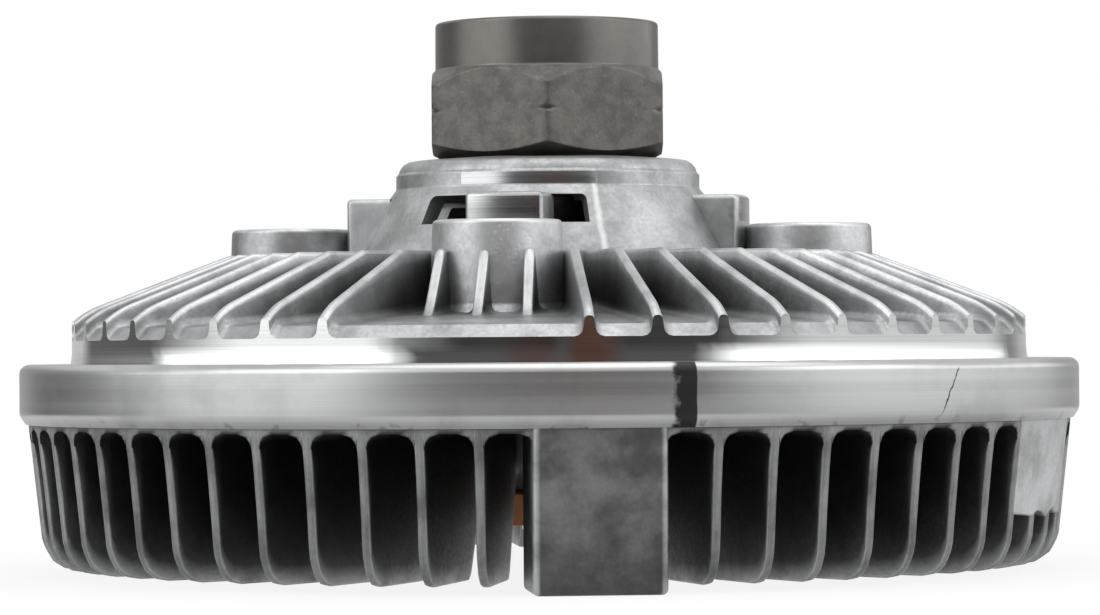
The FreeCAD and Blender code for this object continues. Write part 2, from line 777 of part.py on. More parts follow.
def make_cover_holes(body):
    """Blind holes for the plate screws, the coil's post and the threaded fill hole."""
    sketch = new_sketch(body, "screw_hole_outline", "XY_Plane", lift=S.plate_seat_height)
    disc(sketch, S.plate_screw_circle_radius, 0, S.plate_screw_hole_radius)
    depth = S.plate_screw_length - S.plate_screw_head_height
    hole = extruded(body, "screw_hole", sketch, depth, cut=True)
    repeated(body, "screw_holes", [hole], full_turn(S.plate_screw_count), cut=True)

    turn = S.coil_end_angle - S.cover_fin_angle
    sketch = new_sketch(body, "post_hole_outline", "XY_Plane", turn=turn, lift=S.cover_floor_bottom)
    disc(sketch, post_circle_radius(), 0, S.post_radius)
    extruded(body, "post_hole", sketch, S.post_sink, cut=True, backwards=True)

    turn = S.plug_angle - S.cover_fin_angle
    sketch = new_sketch(body, "fill_hole_outline", "XY_Plane", turn=turn, lift=S.cover_floor_bottom)
    disc(sketch, S.plug_circle_radius, 0, S.plug_radius)
    extruded(body, "fill_hole", sketch, S.cover_floor_thickness, cut=True, backwards=True)


def post_circle_radius():
    """The coil's outer end lies against the inner side of its post."""
    return S.coil_outer_radius + S.coil_strip / 2 + S.post_radius + S.post_gap


def make_drive_shaft():
    """One steel piece: stub, bearing seat, collar, neck, hexagon and threaded barrel."""
    body = new_body("drive_shaft")
    low_corner = S.hex_bottom + S.hex_bottom_bevel_height
    high_corner = S.hex_top - S.hex_top_bevel_height
    groove_low = S.hex_groove_height - S.hex_groove_half_width
    groove_high = S.hex_groove_height + S.hex_groove_half_width
    clip_top = S.hub_bottom
    clip_bottom = clip_top - S.shaft_clip_thickness
    clip_root = S.stub_radius - S.shaft_clip_depth
    sketch = new_sketch(body, "shaft_profile", "XZ_Plane")
    outline(sketch, [
        (ZERO, S.stub_bottom), (S.stub_radius - S.stub_bevel, S.stub_bottom),
        (S.stub_radius, S.stub_bottom + S.stub_bevel), (S.stub_radius, clip_bottom),
        (clip_root, clip_bottom), (clip_root, clip_top), (S.stub_radius, clip_top),
        (S.stub_radius, S.stub_shoulder), (S.bearing_bore_radius, S.stub_shoulder),
        (S.bearing_bore_radius, bearing_top), (S.collar_radius, bearing_top),
        (S.collar_radius, S.collar_top), (S.waist_radius, S.collar_top),
        (S.waist_radius, S.tower_neck_height), (S.hex_bottom_bevel_radius, S.neck_bottom),
        (S.hex_bottom_bevel_radius, S.hex_bottom), (hex_corner_radius, low_corner),
        (hex_corner_radius, groove_low), (S.hex_groove_radius, S.hex_groove_height),
        (hex_corner_radius, groove_high), (hex_corner_radius, high_corner),
        (S.barrel_radius, S.hex_top), (S.barrel_radius, S.shaft_top - S.barrel_bevel),
        (S.barrel_radius - S.barrel_bevel, S.shaft_top),
        (S.drive_bore_radius + S.drive_bore_bevel, S.shaft_top),
        (S.drive_bore_radius, S.shaft_top - S.drive_bore_bevel),
        (S.drive_bore_radius, S.drive_bore_bottom), (ZERO, S.drive_bore_bottom)])
    turned(body, "turning", sketch)

    # The flats, milled off the turned blank
    sketch = new_sketch(body, "flats_outline", "XY_Plane", lift=S.hex_bottom)
    half = S.hex_flats / 2
    short = hex_corner_radius / 2
    outline(sketch, [(ZERO, -hex_corner_radius), (half, -short), (half, short),
                     (ZERO, hex_corner_radius), (-half, short), (-half, -short)])
    disc(sketch, 0, 0, hex_corner_radius + S.cutter_overrun)
    extruded(body, "flats", sketch, S.hex_top - S.hex_bottom, cut=True, backwards=True)
    return body


def make_rotor():
    """The clutch plate: hub, web with fluid holes, and ribs that run between the cover's lands."""
    body = new_body("rotor")
    sketch = new_sketch(body, "rotor_profile", "XZ_Plane")
    corners = [
        (S.stub_radius, S.hub_bottom), (S.hub_radius, S.hub_bottom), (S.hub_radius, S.rotor_bottom)]
    for number in range(int(S.rib_count.number)):
        inner = S.rib_first_radius + S.rib_pitch * number
        outer = inner + S.rib_width
        corners += [(inner, S.rotor_bottom), (inner, rib_tip), (outer, rib_tip), (outer, S.rotor_bottom)]
    corners += [
        (S.rotor_radius, S.rotor_bottom), (S.rotor_radius, S.rotor_top), (S.hub_radius, S.rotor_top),
        (S.hub_radius, S.stub_shoulder), (S.stub_radius, S.stub_shoulder)]
    outline(sketch, corners)
    turned(body, "plate", sketch)
    sketch = new_sketch(body, "fluid_hole_outline", "XY_Plane", lift=S.rotor_bottom)
    disc(sketch, S.rotor_hole_circle_radius, 0, S.rotor_hole_radius)
    hole = extruded(body, "fluid_hole", sketch, S.rotor_top - S.rotor_bottom, cut=True, backwards=True)
    repeated(body, "fluid_holes", [hole], full_turn(S.rotor_hole_count), cut=True)
    return body


def primitive(kind, name, **sizes):
    """A solid primitive with its sizes bound to the sheet."""
    solid = doc.addObject(kind, name)
    for field, size in sizes.items():
        setattr(solid, field, size.number)
        solid.setExpression(field, size.words)
    return solid


def place(solid, x=ZERO, y=ZERO, z=ZERO):
    """The place of a primitive, bound to the sheet."""
    solid.Placement = Placement(Vector(x.number, y.number, z.number), Rotation())
    for axis, size in zip("xyz", (x, y, z)):
        solid.setExpression(f".Placement.Base.{axis}", size.words)
    return solid


def cylinder(name, radius, bottom, height):
    return place(primitive("Part::Cylinder", name, Radius=radius, Height=height), z=bottom)


def cut(name, base, tool):
    result = doc.addObject("Part::Cut", name)
    result.Base = base
    result.Tool = tool
    result.Label = name
    return result


def make_bearing():
    """Deep-groove ball bearing: two races, balls, cage and two seals."""
    groove_radius = S.ball_radius + S.ball_play

    def race_groove(name):
        torus = primitive("Part::Torus", name, Radius1=ball_circle_radius, Radius2=groove_radius)
        return place(torus, z=bearing_middle)

    outer = cylinder("outer_race_blank", S.bearing_radius, S.bearing_bottom, S.bearing_width)
    bore = cylinder("outer_race_bore", S.race_outer_shoulder, S.bearing_bottom, S.bearing_width)
    outer_ring = cut("outer_race_ring", outer, bore)
    seat_height = S.seal_depth + S.seal_thickness
    low_seat = cylinder("seal_seat_low", S.seal_radius, S.bearing_bottom, seat_height)
    high_seat = cylinder("seal_seat_high", S.seal_radius, bearing_top - seat_height, seat_height)
    outer_ring = cut("outer_race_low_seat", outer_ring, low_seat)
    outer_ring = cut("outer_race_high_seat", outer_ring, high_seat)
    outer_race = cut("bearing_outer_race", outer_ring, race_groove("outer_race_groove"))

    inner = cylinder("inner_race_blank", S.race_inner_shoulder, S.bearing_bottom, S.bearing_width)
    bore = cylinder("inner_race_bore", S.bearing_bore_radius, S.bearing_bottom, S.bearing_width)
    inner_ring = cut("inner_race_ring", inner, bore)
    inner_race = cut("bearing_inner_race", inner_ring, race_groove("inner_race_groove"))

    balls = doc.addObject("Part::Compound", "bearing_balls")
    balls.Label = "bearing_balls"
    balls.Links = ball_ring()
    cage_inner = ball_circle_radius - S.cage_half_thickness
    cage_outer = ball_circle_radius + S.cage_half_thickness
    cage = tube("bearing_cage", cage_inner, cage_outer, bearing_middle - S.cage_height / 2,
                S.cage_height)
    sketch = new_sketch(cage, "pocket_outline", "YZ_Plane", lift=cage_inner - S.cutter_overrun)
    disc(sketch, 0, bearing_middle, S.ball_radius + S.ball_play)
    depth = (S.cage_half_thickness + S.cutter_overrun) * 2
    pocket = extruded(cage, "pocket", sketch, depth, cut=True, backwards=True)
    repeated(cage, "pockets", [pocket], full_turn(S.ball_count), cut=True)

    seal_inner = S.race_inner_shoulder + S.seal_play
    low = tube("bearing_seal_lower", seal_inner, S.seal_radius,
               S.bearing_bottom + S.seal_depth, S.seal_thickness)
    high = tube("bearing_seal_upper", seal_inner, S.seal_radius,
                bearing_top - S.seal_depth - S.seal_thickness, S.seal_thickness)
    return [outer_race, inner_race, balls, cage, low, high]


def ball_ring():
    """The balls, spaced evenly round the bearing."""
    spheres = []
    count = int(S.ball_count.number)
    for number in range(count):
        angle = as_size(360) / S.ball_count * number
        sphere = primitive("Part::Sphere", f"ball_{number + 1}", Radius=S.ball_radius)
        place(sphere, ball_circle_radius * cos_of(angle), ball_circle_radius * sin_of(angle),
              bearing_middle)
        spheres.append(sphere)
    return spheres


def make_retaining_ring():
    """The circlip that holds the outer race up against its shoulder."""
    bottom = S.bearing_bottom - S.circlip_thickness
    outer = S.bearing_radius + S.circlip_depth
    body = tube("bearing_retaining_ring", S.circlip_inner_radius, outer, bottom, S.circlip_thickness)
    gap_in_ring(body, S.circlip_inner_radius, outer, bottom, S.circlip_thickness,
                S.circlip_gap_span, S.window_angle)
    return body


def make_shaft_clip():
    """The circlip that keeps the rotor on the shaft's stub."""
    bottom = S.hub_bottom - S.shaft_clip_thickness
    inner = S.stub_radius - S.shaft_clip_depth
    body = tube("rotor_circlip", inner, S.shaft_clip_radius, bottom, S.shaft_clip_thickness)
    gap_in_ring(body, inner, S.shaft_clip_radius, bottom, S.shaft_clip_thickness,
                S.shaft_clip_gap_span, S.window_angle)
    return body


def make_pump_plate():
    """The thin plate over the reservoir, with the valve's port and its screw holes."""
    body = new_body("pump_plate", turn=S.cover_fin_angle)
    sketch = new_sketch(body, "plate_outline", "XY_Plane", lift=S.plate_seat_height)
    disc(sketch, 0, 0, S.plate_radius)
    extruded(body, "plate", sketch, S.plate_thickness)
    sketch = new_sketch(body, "port_outline", "XY_Plane", turn=S.plate_port_angle,
                        lift=S.plate_seat_height)
    disc(sketch, S.plate_port_circle_radius, 0, S.plate_port_radius)
    extruded(body, "port", sketch, S.plate_thickness, cut=True, backwards=True)
    sketch = new_sketch(body, "screw_hole_outline", "XY_Plane", lift=S.plate_seat_height)
    disc(sketch, S.plate_screw_circle_radius, 0, S.plate_screw_hole_radius)
    hole = extruded(body, "screw_hole", sketch, S.plate_thickness, cut=True, backwards=True)
    repeated(body, "screw_holes", [hole], full_turn(S.plate_screw_count), cut=True)
    return body


def make_plate_screws():
    """Pan-headed screws that hold the pump plate on its seat."""
    screws = []
    count = int(S.plate_screw_count.number)
    shank_bottom = plate_top + S.plate_screw_head_height - S.plate_screw_length
    for number in range(count):
        angle = S.cover_fin_angle + as_size(360) / S.plate_screw_count * number
        x = S.plate_screw_circle_radius * cos_of(angle)
        y = S.plate_screw_circle_radius * sin_of(angle)
        head = primitive("Part::Cylinder", f"screw_head_{number + 1}", Radius=S.plate_screw_head_radius,
                         Height=S.plate_screw_head_height)
        place(head, x, y, plate_top)
        shank = primitive("Part::Cylinder", f"screw_shank_{number + 1}", Radius=S.plate_screw_radius,
                          Height=plate_top - shank_bottom)
        place(shank, x, y, shank_bottom)
        screw = doc.addObject("Part::Fuse", f"screw_{number + 1}")
        screw.Base = head
        screw.Tool = shank
        screws.append(screw)
    group = doc.addObject("Part::Compound", "pump_plate_screws")
    group.Label = "pump_plate_screws"
    group.Links = screws
    return group


def make_wiper():
    """The small block on the plate that scrapes fluid off the rotor and back through its port."""
    body = new_body("fluid_wiper", turn=S.wiper_angle)
    half = S.wiper_width / 2
    sketch = new_sketch(body, "wiper_outline", "XY_Plane", lift=plate_top)
    inner = S.wiper_circle_radius - S.wiper_length / 2
    outer = S.wiper_circle_radius + S.wiper_length / 2
    outline(sketch, [(inner, -half), (outer, -half), (outer, half), (inner, half)])
    extruded(body, "wiper", sketch, S.wiper_height)
    return body


def make_rim_seal():
    """The round cord in the groove under the housing's flange."""
    seal = primitive("Part::Torus", "rim_o_ring", Radius1=S.rim_seal_circle_radius,
                     Radius2=S.rim_seal_cord_radius)
    seal.Label = "rim_o_ring"
    return place(seal, z=seal_seat_bottom + S.rim_seal_cord_radius)


def make_valve():
    """The valve's shaft, slotted for the coil, with its arm, seal and clip."""
    shaft = new_body("valve_shaft", turn=S.coil_end_angle)
    groove_low = S.seal_groove_height - S.seal_cord_radius - S.valve_play
    groove_high = S.seal_groove_height + S.seal_cord_radius + S.valve_play
    groove_root = S.valve_shaft_radius - S.seal_groove_depth
    clip_root = S.valve_shaft_radius - S.clip_depth
    shoulder = S.inner_boss_top + S.clip_thickness
    sketch = new_sketch(shaft, "valve_shaft_profile", "XZ_Plane")
    outline(sketch, [
        (ZERO, S.valve_shaft_bottom), (S.valve_foot_radius, S.valve_shaft_bottom),
        (S.valve_foot_radius, S.seat_boss_bottom - S.valve_play),
        (S.valve_shaft_radius, S.seat_boss_bottom - S.valve_play),
        (S.valve_shaft_radius, groove_low), (groove_root, groove_low), (groove_root, groove_high),
        (S.valve_shaft_radius, groove_high), (S.valve_shaft_radius, S.inner_boss_top),
        (clip_root, S.inner_boss_top), (clip_root, shoulder),
        (S.valve_head_radius, shoulder), (S.valve_head_radius, shoulder + S.arm_thickness),
        (ZERO, shoulder + S.arm_thickness)])
    turned(shaft, "turning", sketch)
    slot_half = S.coil_strip / 2 + S.slot_play
    sketch = new_sketch(shaft, "slot_outline", "XY_Plane", lift=S.valve_shaft_bottom)
    reach = S.valve_foot_radius + S.cutter_overrun
    outline(sketch, [(-reach, -slot_half), (reach, -slot_half), (reach, slot_half), (-reach, slot_half)])
    depth = S.coil_bottom + S.coil_width + S.slot_play - S.valve_shaft_bottom
    extruded(shaft, "slot", sketch, depth, cut=True, backwards=True)

    arm = new_body("valve_arm", turn=S.plate_port_angle + S.cover_fin_angle)
    sketch = new_sketch(arm, "arm_outline", "XY_Plane", lift=shoulder)
    half = S.arm_width / 2
    eye = S.arm_eye_radius
    outline(sketch, [(-eye / 2, -eye), (eye, -eye), (S.arm_reach - half, -half), (S.arm_reach, -half / 2),
                     (S.arm_reach, half / 2), (S.arm_reach - half, half), (eye, eye), (-eye / 2, eye),
                     (-eye, eye / 2), (-eye, -eye / 2)])
    disc(sketch, 0, 0, S.valve_head_radius)
    extruded(arm, "arm", sketch, S.arm_thickness)

    seal = primitive("Part::Torus", "valve_shaft_o_ring",
                     Radius1=groove_root + S.seal_cord_radius, Radius2=S.seal_cord_radius)
    seal.Label = "valve_shaft_o_ring"
    place(seal, z=S.seal_groove_height)

    clip_bottom = S.inner_boss_top + S.valve_play
    clip = tube("valve_clip", clip_root, S.clip_radius, clip_bottom, shoulder - clip_bottom)
    gap_in_ring(clip, clip_root, S.clip_radius, clip_bottom, S.clip_thickness,
                S.clip_gap_span, S.coil_end_angle)
    return [shaft, arm, seal, clip]


def make_coil():
    """The flat thermostatic spring: half turns about two centres, each larger than the last,
    and a straight inner end that runs through the slot of the valve's shaft."""
    half_turns = int(round(2 * S.coil_turns.number))
    shift = (S.coil_outer_radius.number - S.coil_inner_radius.number) / (2 * half_turns)
    half = S.coil_strip.number / 2

    def side(offset):
        """The arcs of one side of the strip, first on the x axis and ending there."""
        arcs = []
        for number in range(half_turns):
            way = 1 if number % 2 == 0 else -1
            radius = S.coil_inner_radius.number + (2 * number + 1) * shift + offset
            centre = Vector(-way * shift, 0, 0)
            points = [centre + Vector(way * radius * math.cos(angle), way * radius * math.sin(angle), 0)
                      for angle in (0, math.pi / 2, math.pi)]
            arcs.append(Part.Arc(*points).toShape())
        return arcs

    inner, outer = side(-half), side(half)

    def joined(one, other):
        return Part.LineSegment(one, other).toShape()

    start = joined(Vector(S.coil_inner_radius.number - half, 0, 0),
                   Vector(S.coil_inner_radius.number + half, 0, 0))
    end = joined(Vector(S.coil_outer_radius.number - half, 0, 0),
                 Vector(S.coil_outer_radius.number + half, 0, 0))
    strip = Part.Wire(Part.__sortEdges__([start] + outer + [end] + inner))
    height = Vector(0, 0, S.coil_width.number)
    coil = Part.Face(strip).extrude(height)
    tang = Part.makeBox(S.coil_inner_radius.number + S.valve_foot_radius.number, S.coil_strip.number,
                        S.coil_width.number, Vector(-S.valve_foot_radius.number, -half, 0))
    coil = coil.fuse(tang).removeSplitter().Solids[0]
    node = doc.addObject("Part::Feature", "bimetal_coil")
    node.Label = "bimetal_coil"
    node.Shape = coil
    node.Placement = Placement(Vector(0, 0, S.coil_bottom.number),
                               Rotation(Z_AXIS, S.coil_end_angle.number))
    return node


def make_post():
    """The pin in the cover that the coil's outer end bears on."""
    bottom = S.coil_bottom
    top = S.cover_floor_bottom + S.post_sink
    post = primitive("Part::Cylinder", "coil_anchor", Radius=S.post_radius, Height=top - bottom)
    post.Label = "coil_anchor"
    radius = post_circle_radius()
    return place(post, radius * cos_of(S.coil_end_angle), radius * sin_of(S.coil_end_angle), bottom)


def make_plug():
    """The plug in the reservoir's fill hole."""
    body = new_body("fill_plug", turn=S.plug_angle)
    radius = S.plug_circle_radius
    sketch = new_sketch(body, "shank_outline", "XY_Plane", lift=S.cover_floor_bottom)
    disc(sketch, radius, 0, S.plug_radius)
    extruded(body, "shank", sketch, S.cover_floor_thickness)
    sketch = new_sketch(body, "head_outline", "XY_Plane", lift=S.cover_floor_bottom)
    disc(sketch, radius, 0, S.plug_head_radius)
    extruded(body, "head", sketch, S.plug_head_height, backwards=True)
    return body


def write_nodes(nodes):
    """Every object must be sound before any file is written."""
    doc.recompute()
    for item in doc.Objects:
        if "Invalid" in item.State or "Error" in item.State:
            raise ValueError(f"{item.Name} is {item.State}")
    for node in nodes:
        if node.Shape.isNull() or not node.Shape.isValid() or not node.Shape.Solids:
            raise ValueError(f"{node.Label} has no sound shape")
    os.makedirs(NODE_FOLDER, exist_ok=True)
    for node in nodes:
        node.Shape.exportStep(os.path.join(NODE_FOLDER, f"{node.Label}.step"))
        print(f"{node.Label}: {len(node.Shape.Solids)} solid(s), {node.Shape.Volume / 1000:.2f} cm3")


nodes = [make_housing(), make_cover(), make_drive_shaft(), make_rotor()]
nodes += make_bearing()
nodes += [make_retaining_ring(), make_shaft_clip()]
nodes.append(tube("rotor_spacer", S.bearing_bore_radius, S.spacer_radius, S.stub_shoulder,
                  S.bearing_bottom - S.stub_shoulder))
nodes += [make_pump_plate(), make_plate_screws(), make_wiper(), make_rim_seal()]
nodes += make_valve()
nodes += [make_coil(), make_post(), make_plug()]
write_nodes(nodes)
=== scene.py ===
import json
from math import acos, cos, pi, radians, sin, tan

import bmesh
import bpy
import numpy as np
from mathutils import Matrix, Vector

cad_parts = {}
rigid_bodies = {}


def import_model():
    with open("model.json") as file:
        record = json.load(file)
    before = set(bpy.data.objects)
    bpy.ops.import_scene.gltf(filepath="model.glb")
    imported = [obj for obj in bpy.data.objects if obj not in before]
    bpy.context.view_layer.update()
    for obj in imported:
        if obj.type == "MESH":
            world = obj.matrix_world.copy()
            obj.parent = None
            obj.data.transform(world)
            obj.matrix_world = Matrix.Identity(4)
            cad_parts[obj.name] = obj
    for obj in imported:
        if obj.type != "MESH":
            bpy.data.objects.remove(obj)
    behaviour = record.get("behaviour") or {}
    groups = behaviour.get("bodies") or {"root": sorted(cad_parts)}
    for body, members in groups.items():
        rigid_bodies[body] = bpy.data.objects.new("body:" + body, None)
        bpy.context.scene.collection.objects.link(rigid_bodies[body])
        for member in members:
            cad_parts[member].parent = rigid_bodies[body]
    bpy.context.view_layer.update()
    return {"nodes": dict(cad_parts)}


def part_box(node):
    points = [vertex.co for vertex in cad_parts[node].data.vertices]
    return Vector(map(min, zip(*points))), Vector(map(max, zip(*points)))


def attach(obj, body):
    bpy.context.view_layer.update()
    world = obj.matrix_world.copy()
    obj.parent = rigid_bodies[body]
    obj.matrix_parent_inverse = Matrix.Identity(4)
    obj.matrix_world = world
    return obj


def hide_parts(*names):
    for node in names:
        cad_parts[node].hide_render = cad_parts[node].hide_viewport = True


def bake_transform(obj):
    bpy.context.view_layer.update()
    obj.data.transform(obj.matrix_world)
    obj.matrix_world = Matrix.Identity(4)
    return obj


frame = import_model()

# %% [markdown]
# This file dresses a viscous fan clutch, the finned coupling between an engine and its cooling fan.
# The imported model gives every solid. Here the housing, cover, shaft and coil get surfaces of their
# own, and every piece a finish. Each step first says what the thing is, and why it is made this way.

# %% Units and the main sizes, read from the frame
MM = 0.001
TURN = 2 * pi
cover_low, cover_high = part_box("cover")
ring_radius = (cover_high[0] - cover_low[0]) / 2 / MM
ring_top = cover_high[2] / MM
tower_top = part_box("housing")[1][2] / MM
shaft_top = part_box("drive_shaft")[1][2] / MM
print(f"ring radius {ring_radius:.2f} mm, ring top {ring_top:.2f}, tower top {tower_top:.2f}")

# %% [markdown]
# Every new surface is a grid of points or a profile turned about the shaft's axis. A small class
# collects such grids, with a finish number for each face and two masks for each point: wear with a
# painted highlight, and painted shade.

# %% Meshes and objects
scene = bpy.context.scene


def add_object(name, data):
    """A new object in the scene."""
    made = bpy.data.objects.new(name, data)
    scene.collection.objects.link(made)
    return made


def plain_mesh(name, points, faces):
    """A mesh from points in metres and lists of corners."""
    mesh = bpy.data.meshes.new(name)
    mesh.from_pydata(np.reshape(points, (-1, 3)).tolist(), [], faces)
    return mesh


def add_masks(mesh, **masks):
    """Float attributes with one value for each point."""
    for label, values in masks.items():
        mask = mesh.attributes.new(label, "FLOAT", "POINT")
        mask.data.foreach_set("value", np.ravel(values).astype(np.float32))


def shade(mesh, sharp):
    """Smooth shading, except at edges sharper than an angle in degrees."""
    mesh.shade_smooth()
    mesh.set_sharp_from_angle(angle=radians(sharp))


# %% A collector of surfaces that become one mesh
class Surface:
    """Points in millimetres, four-sided faces, their finishes, and two masks for each point: wear with a
    painted highlight, and painted shade.
    """

    def __init__(self, sharp=38.0):
        self.parts, self.count, self.sharp = [], 0, sharp

    def add(self, points, faces, finish=0, edge=0.0, deep=0.0):
        """Appends a piece; the finish and the two masks, wear with a painted highlight and painted shade,
        may also be one number for all.
        """
        points = np.asarray(points, dtype=float).reshape(-1, 3)
        finish = np.broadcast_to(np.ravel(finish), len(faces))
        edge, deep = [np.broadcast_to(np.ravel(mask), len(points)) for mask in (edge, deep)]
        self.parts.append((points, faces + self.count, finish, edge, deep))
        self.count += len(points)

    def build(self, name):
        """The mesh object in metres."""
        points, faces, finish, edge, deep = [np.concatenate(part) for part in zip(*self.parts)]
        mesh = plain_mesh(name, points * MM, faces.tolist())
        mesh.polygons.foreach_set("material_index", finish)
        add_masks(mesh, edge=edge, deep=deep)
        mesh.validate()
        shade(mesh, self.sharp)
        return add_object(name, mesh)


def at(radius, angle, height, centre=(0.0, 0.0)):
    """Points (r cos a, r sin a, z) about a centre."""
    x, y = centre[0] + radius * np.cos(angle), centre[1] + radius * np.sin(angle)
    return np.stack(np.broadcast_arrays(x, y, height), axis=-1)


def spun(points, angle):
    """Points turned about the shaft's axis."""
    c, s = cos(angle), sin(angle)
    return points @ np.array([[c, s, 0], [-s, c, 0], [0, 0, 1]])


def grid_faces(rows, columns, wrap=(0, 0)):
    """Faces of a grid stored row by row: corner (i, j), (i, j+1), (i+1, j+1), (i+1, j). Wrap says
    whether the last row and the last column join the first."""
    index = np.arange(rows * columns).reshape(rows, columns)
    index = np.pad(index, ((0, wrap[0]), (0, wrap[1])), mode="wrap")
    corners = (index[:-1, :-1], index[:-1, 1:], index[1:, 1:], index[1:, :-1])
    return np.stack(corners, axis=-1).reshape(-1, 4)


def rounded_profile(corners, steps=4):
    """An outline of (radius, height) or (radius, height, rounding) corners; a rounded corner becomes
    an arc that leaves each side at rounding / tan(half the corner's angle) from the corner."""
    corners = np.array([(*corner, 0.0)[:3] for corner in corners])
    result = [corners[0, :2]]
    for last, (x, y, rounding), following in zip(corners[:-2], corners[1:-1], corners[2:]):
        here = np.array([x, y])
        before, after = [side[:2] - here for side in (last, following)]
        before, after = before / np.linalg.norm(before), after / np.linalg.norm(after)
        if rounding <= 0 or before @ after < -0.9999:
            result.append(here)
            continue
        half = acos(np.clip(before @ after, -1, 1)) / 2
        middle = (before + after) / np.linalg.norm(before + after)
        centre = here + middle * rounding / sin(half)
        start, end = [here + side * rounding / tan(half) - centre for side in (before, after)]
        for t in np.linspace(0, 1, steps + 1):
            arm = start * (1 - t) + end * t
            result.append(centre + arm / np.linalg.norm(arm) * rounding)
    return np.array(result + [corners[-1, :2]])


def turned(profile, segments, closed=False, centre=(0.0, 0.0)):
    """Points and faces of a profile turned about a vertical axis."""
    profile = np.array(profile)
    angle = np.arange(segments) / segments * TURN
    points = at(profile[:, :1], angle, profile[:, 1:], centre)
    return points, grid_faces(len(profile), segments, (int(closed), 1))


def both_sides(count):
    """The order and side of a whole fin's columns, from those of its half, ridge first; the last
    valley column belongs to the next fin."""
    order = [*range(count - 1, 0, -1), *range(count - 1)]
    return order, np.repeat([-1.0, 1.0], count - 1)[:, None]


print("Helpers ready")

# %% [markdown]
# The engine-side casting is a field of radial fins over a shallow cone. Seen from above it is one
# height over radius and angle, so one grid holds it. Its columns follow the section of a fin and its
# rows are radii, so the ridges stay crisp. The fins' ends are turned flush with the pilot cylinder.

# %% Sizes of the engine-side casting, in millimetres
FIN_COUNT = 48
FIN_PITCH = TURN / FIN_COUNT
FIN_FIRST = radians(-85.6)
PILOT_RADIUS, PILOT_TOP = 74.8, 36.3
LIP_RADIUS, LIP_HEIGHT = 73.2, 38.1
FOOT_RADIUS, FOOT_HEIGHT = 29.6, 49.4
FLOOR_INNER_HEIGHT = 42.0
BEND_RADIUS = 50.6
SLOPE = tan(radians(20.7))
END_START, END_DROP = 70.6, 0.95
SHORT_CELLS = [45, 46, 47, 21, 22, 23]
SHORT_START, SHORT_END = 51.2, 57.2
RIDGE_HALF, RIDGE_ROUND, FLANK_DRAFT, FOOT_ROUND = 0.72, 0.62, 0.05, 1.3
# Wear and a painted highlight over a fin's section, brightest on the ridge's rounding.
FIN_WEAR_AND_HIGHLIGHT = [0.45, 0.55, 1.0, 0.6] + [0.0] * 8
# Painted shade over a fin's section: none on the ridge, rising down the flank, a little less in the valley.
FIN_PAINTED_SHADE = [0.0, 0.0, 0.0, 0.1, 0.35, 0.6, 0.85, 0.8, 0.7, 0.6, 0.5, 0.5]


def floor_height(radius):
    """The valley floor: a cone that falls to the lip, then the lip's bevel down to the pilot."""
    cone = np.interp(radius, [FOOT_RADIUS, LIP_RADIUS], [FLOOR_INNER_HEIGHT, LIP_HEIGHT])
    bevel = np.interp(radius, [LIP_RADIUS, PILOT_RADIUS], [LIP_HEIGHT, PILOT_TOP])
    return np.where(radius < LIP_RADIUS, cone, bevel)


def ridge_height(radius):
    """The fins' ridges: level, then a straight fall, then a rounded end at the rim."""
    fall = np.maximum(radius - BEND_RADIUS, 0) * SLOPE
    end = np.clip((radius - END_START) / (PILOT_RADIUS - END_START), 0, 1)
    return FOOT_HEIGHT - fall - END_DROP * end ** 2


def fin_section(top, floor, half, root, ridge, foot, share, under):
    """Half a fin's section at each radius, as offsets and heights: over the ridge's rounding, down the
    flank and through the foot's fillet. Ridge and foot give a rounding's width and signed height,
    share the steps down the flank, under the fillet's in degrees."""
    over, under = np.radians([30, 60, 90])[:, None], np.radians(under)[:, None]
    share = np.array(share)[:, None]
    offsets = [0 * top, half + 0 * top - ridge[0] * (1 - np.sin(over)), half + (root - half) * share,
               root + foot[0] * (1 - np.cos(under))]
    heights = [top, top - ridge[1] * (1 - np.cos(over)),
               (top - ridge[1]) * (1 - share) + (floor + foot[1]) * share, floor + foot[1] * (1 - np.sin(under))]
    return np.vstack(offsets), np.vstack(heights)


def housing_section(top, floor, half_cell):
    """A housing fin's section with two valley columns; where it has run out, they keep some spread."""
    spread = np.maximum(top - floor, 1.4)
    ridge, foot = [[np.minimum(limit, 0.45 * size) for size in (spread, top - floor)]
                   for limit in (RIDGE_ROUND, FOOT_ROUND)]
    offsets, heights = fin_section(top, floor, RIDGE_HALF, RIDGE_HALF + FLANK_DRAFT * spread, ridge, foot,
                                   [0.2, 0.55, 1.0], [30, 60, 90])
    valley = offsets[-1] * 0.45 + half_cell * 0.55
    return np.vstack([offsets, valley, half_cell]), np.vstack([heights, floor, floor])


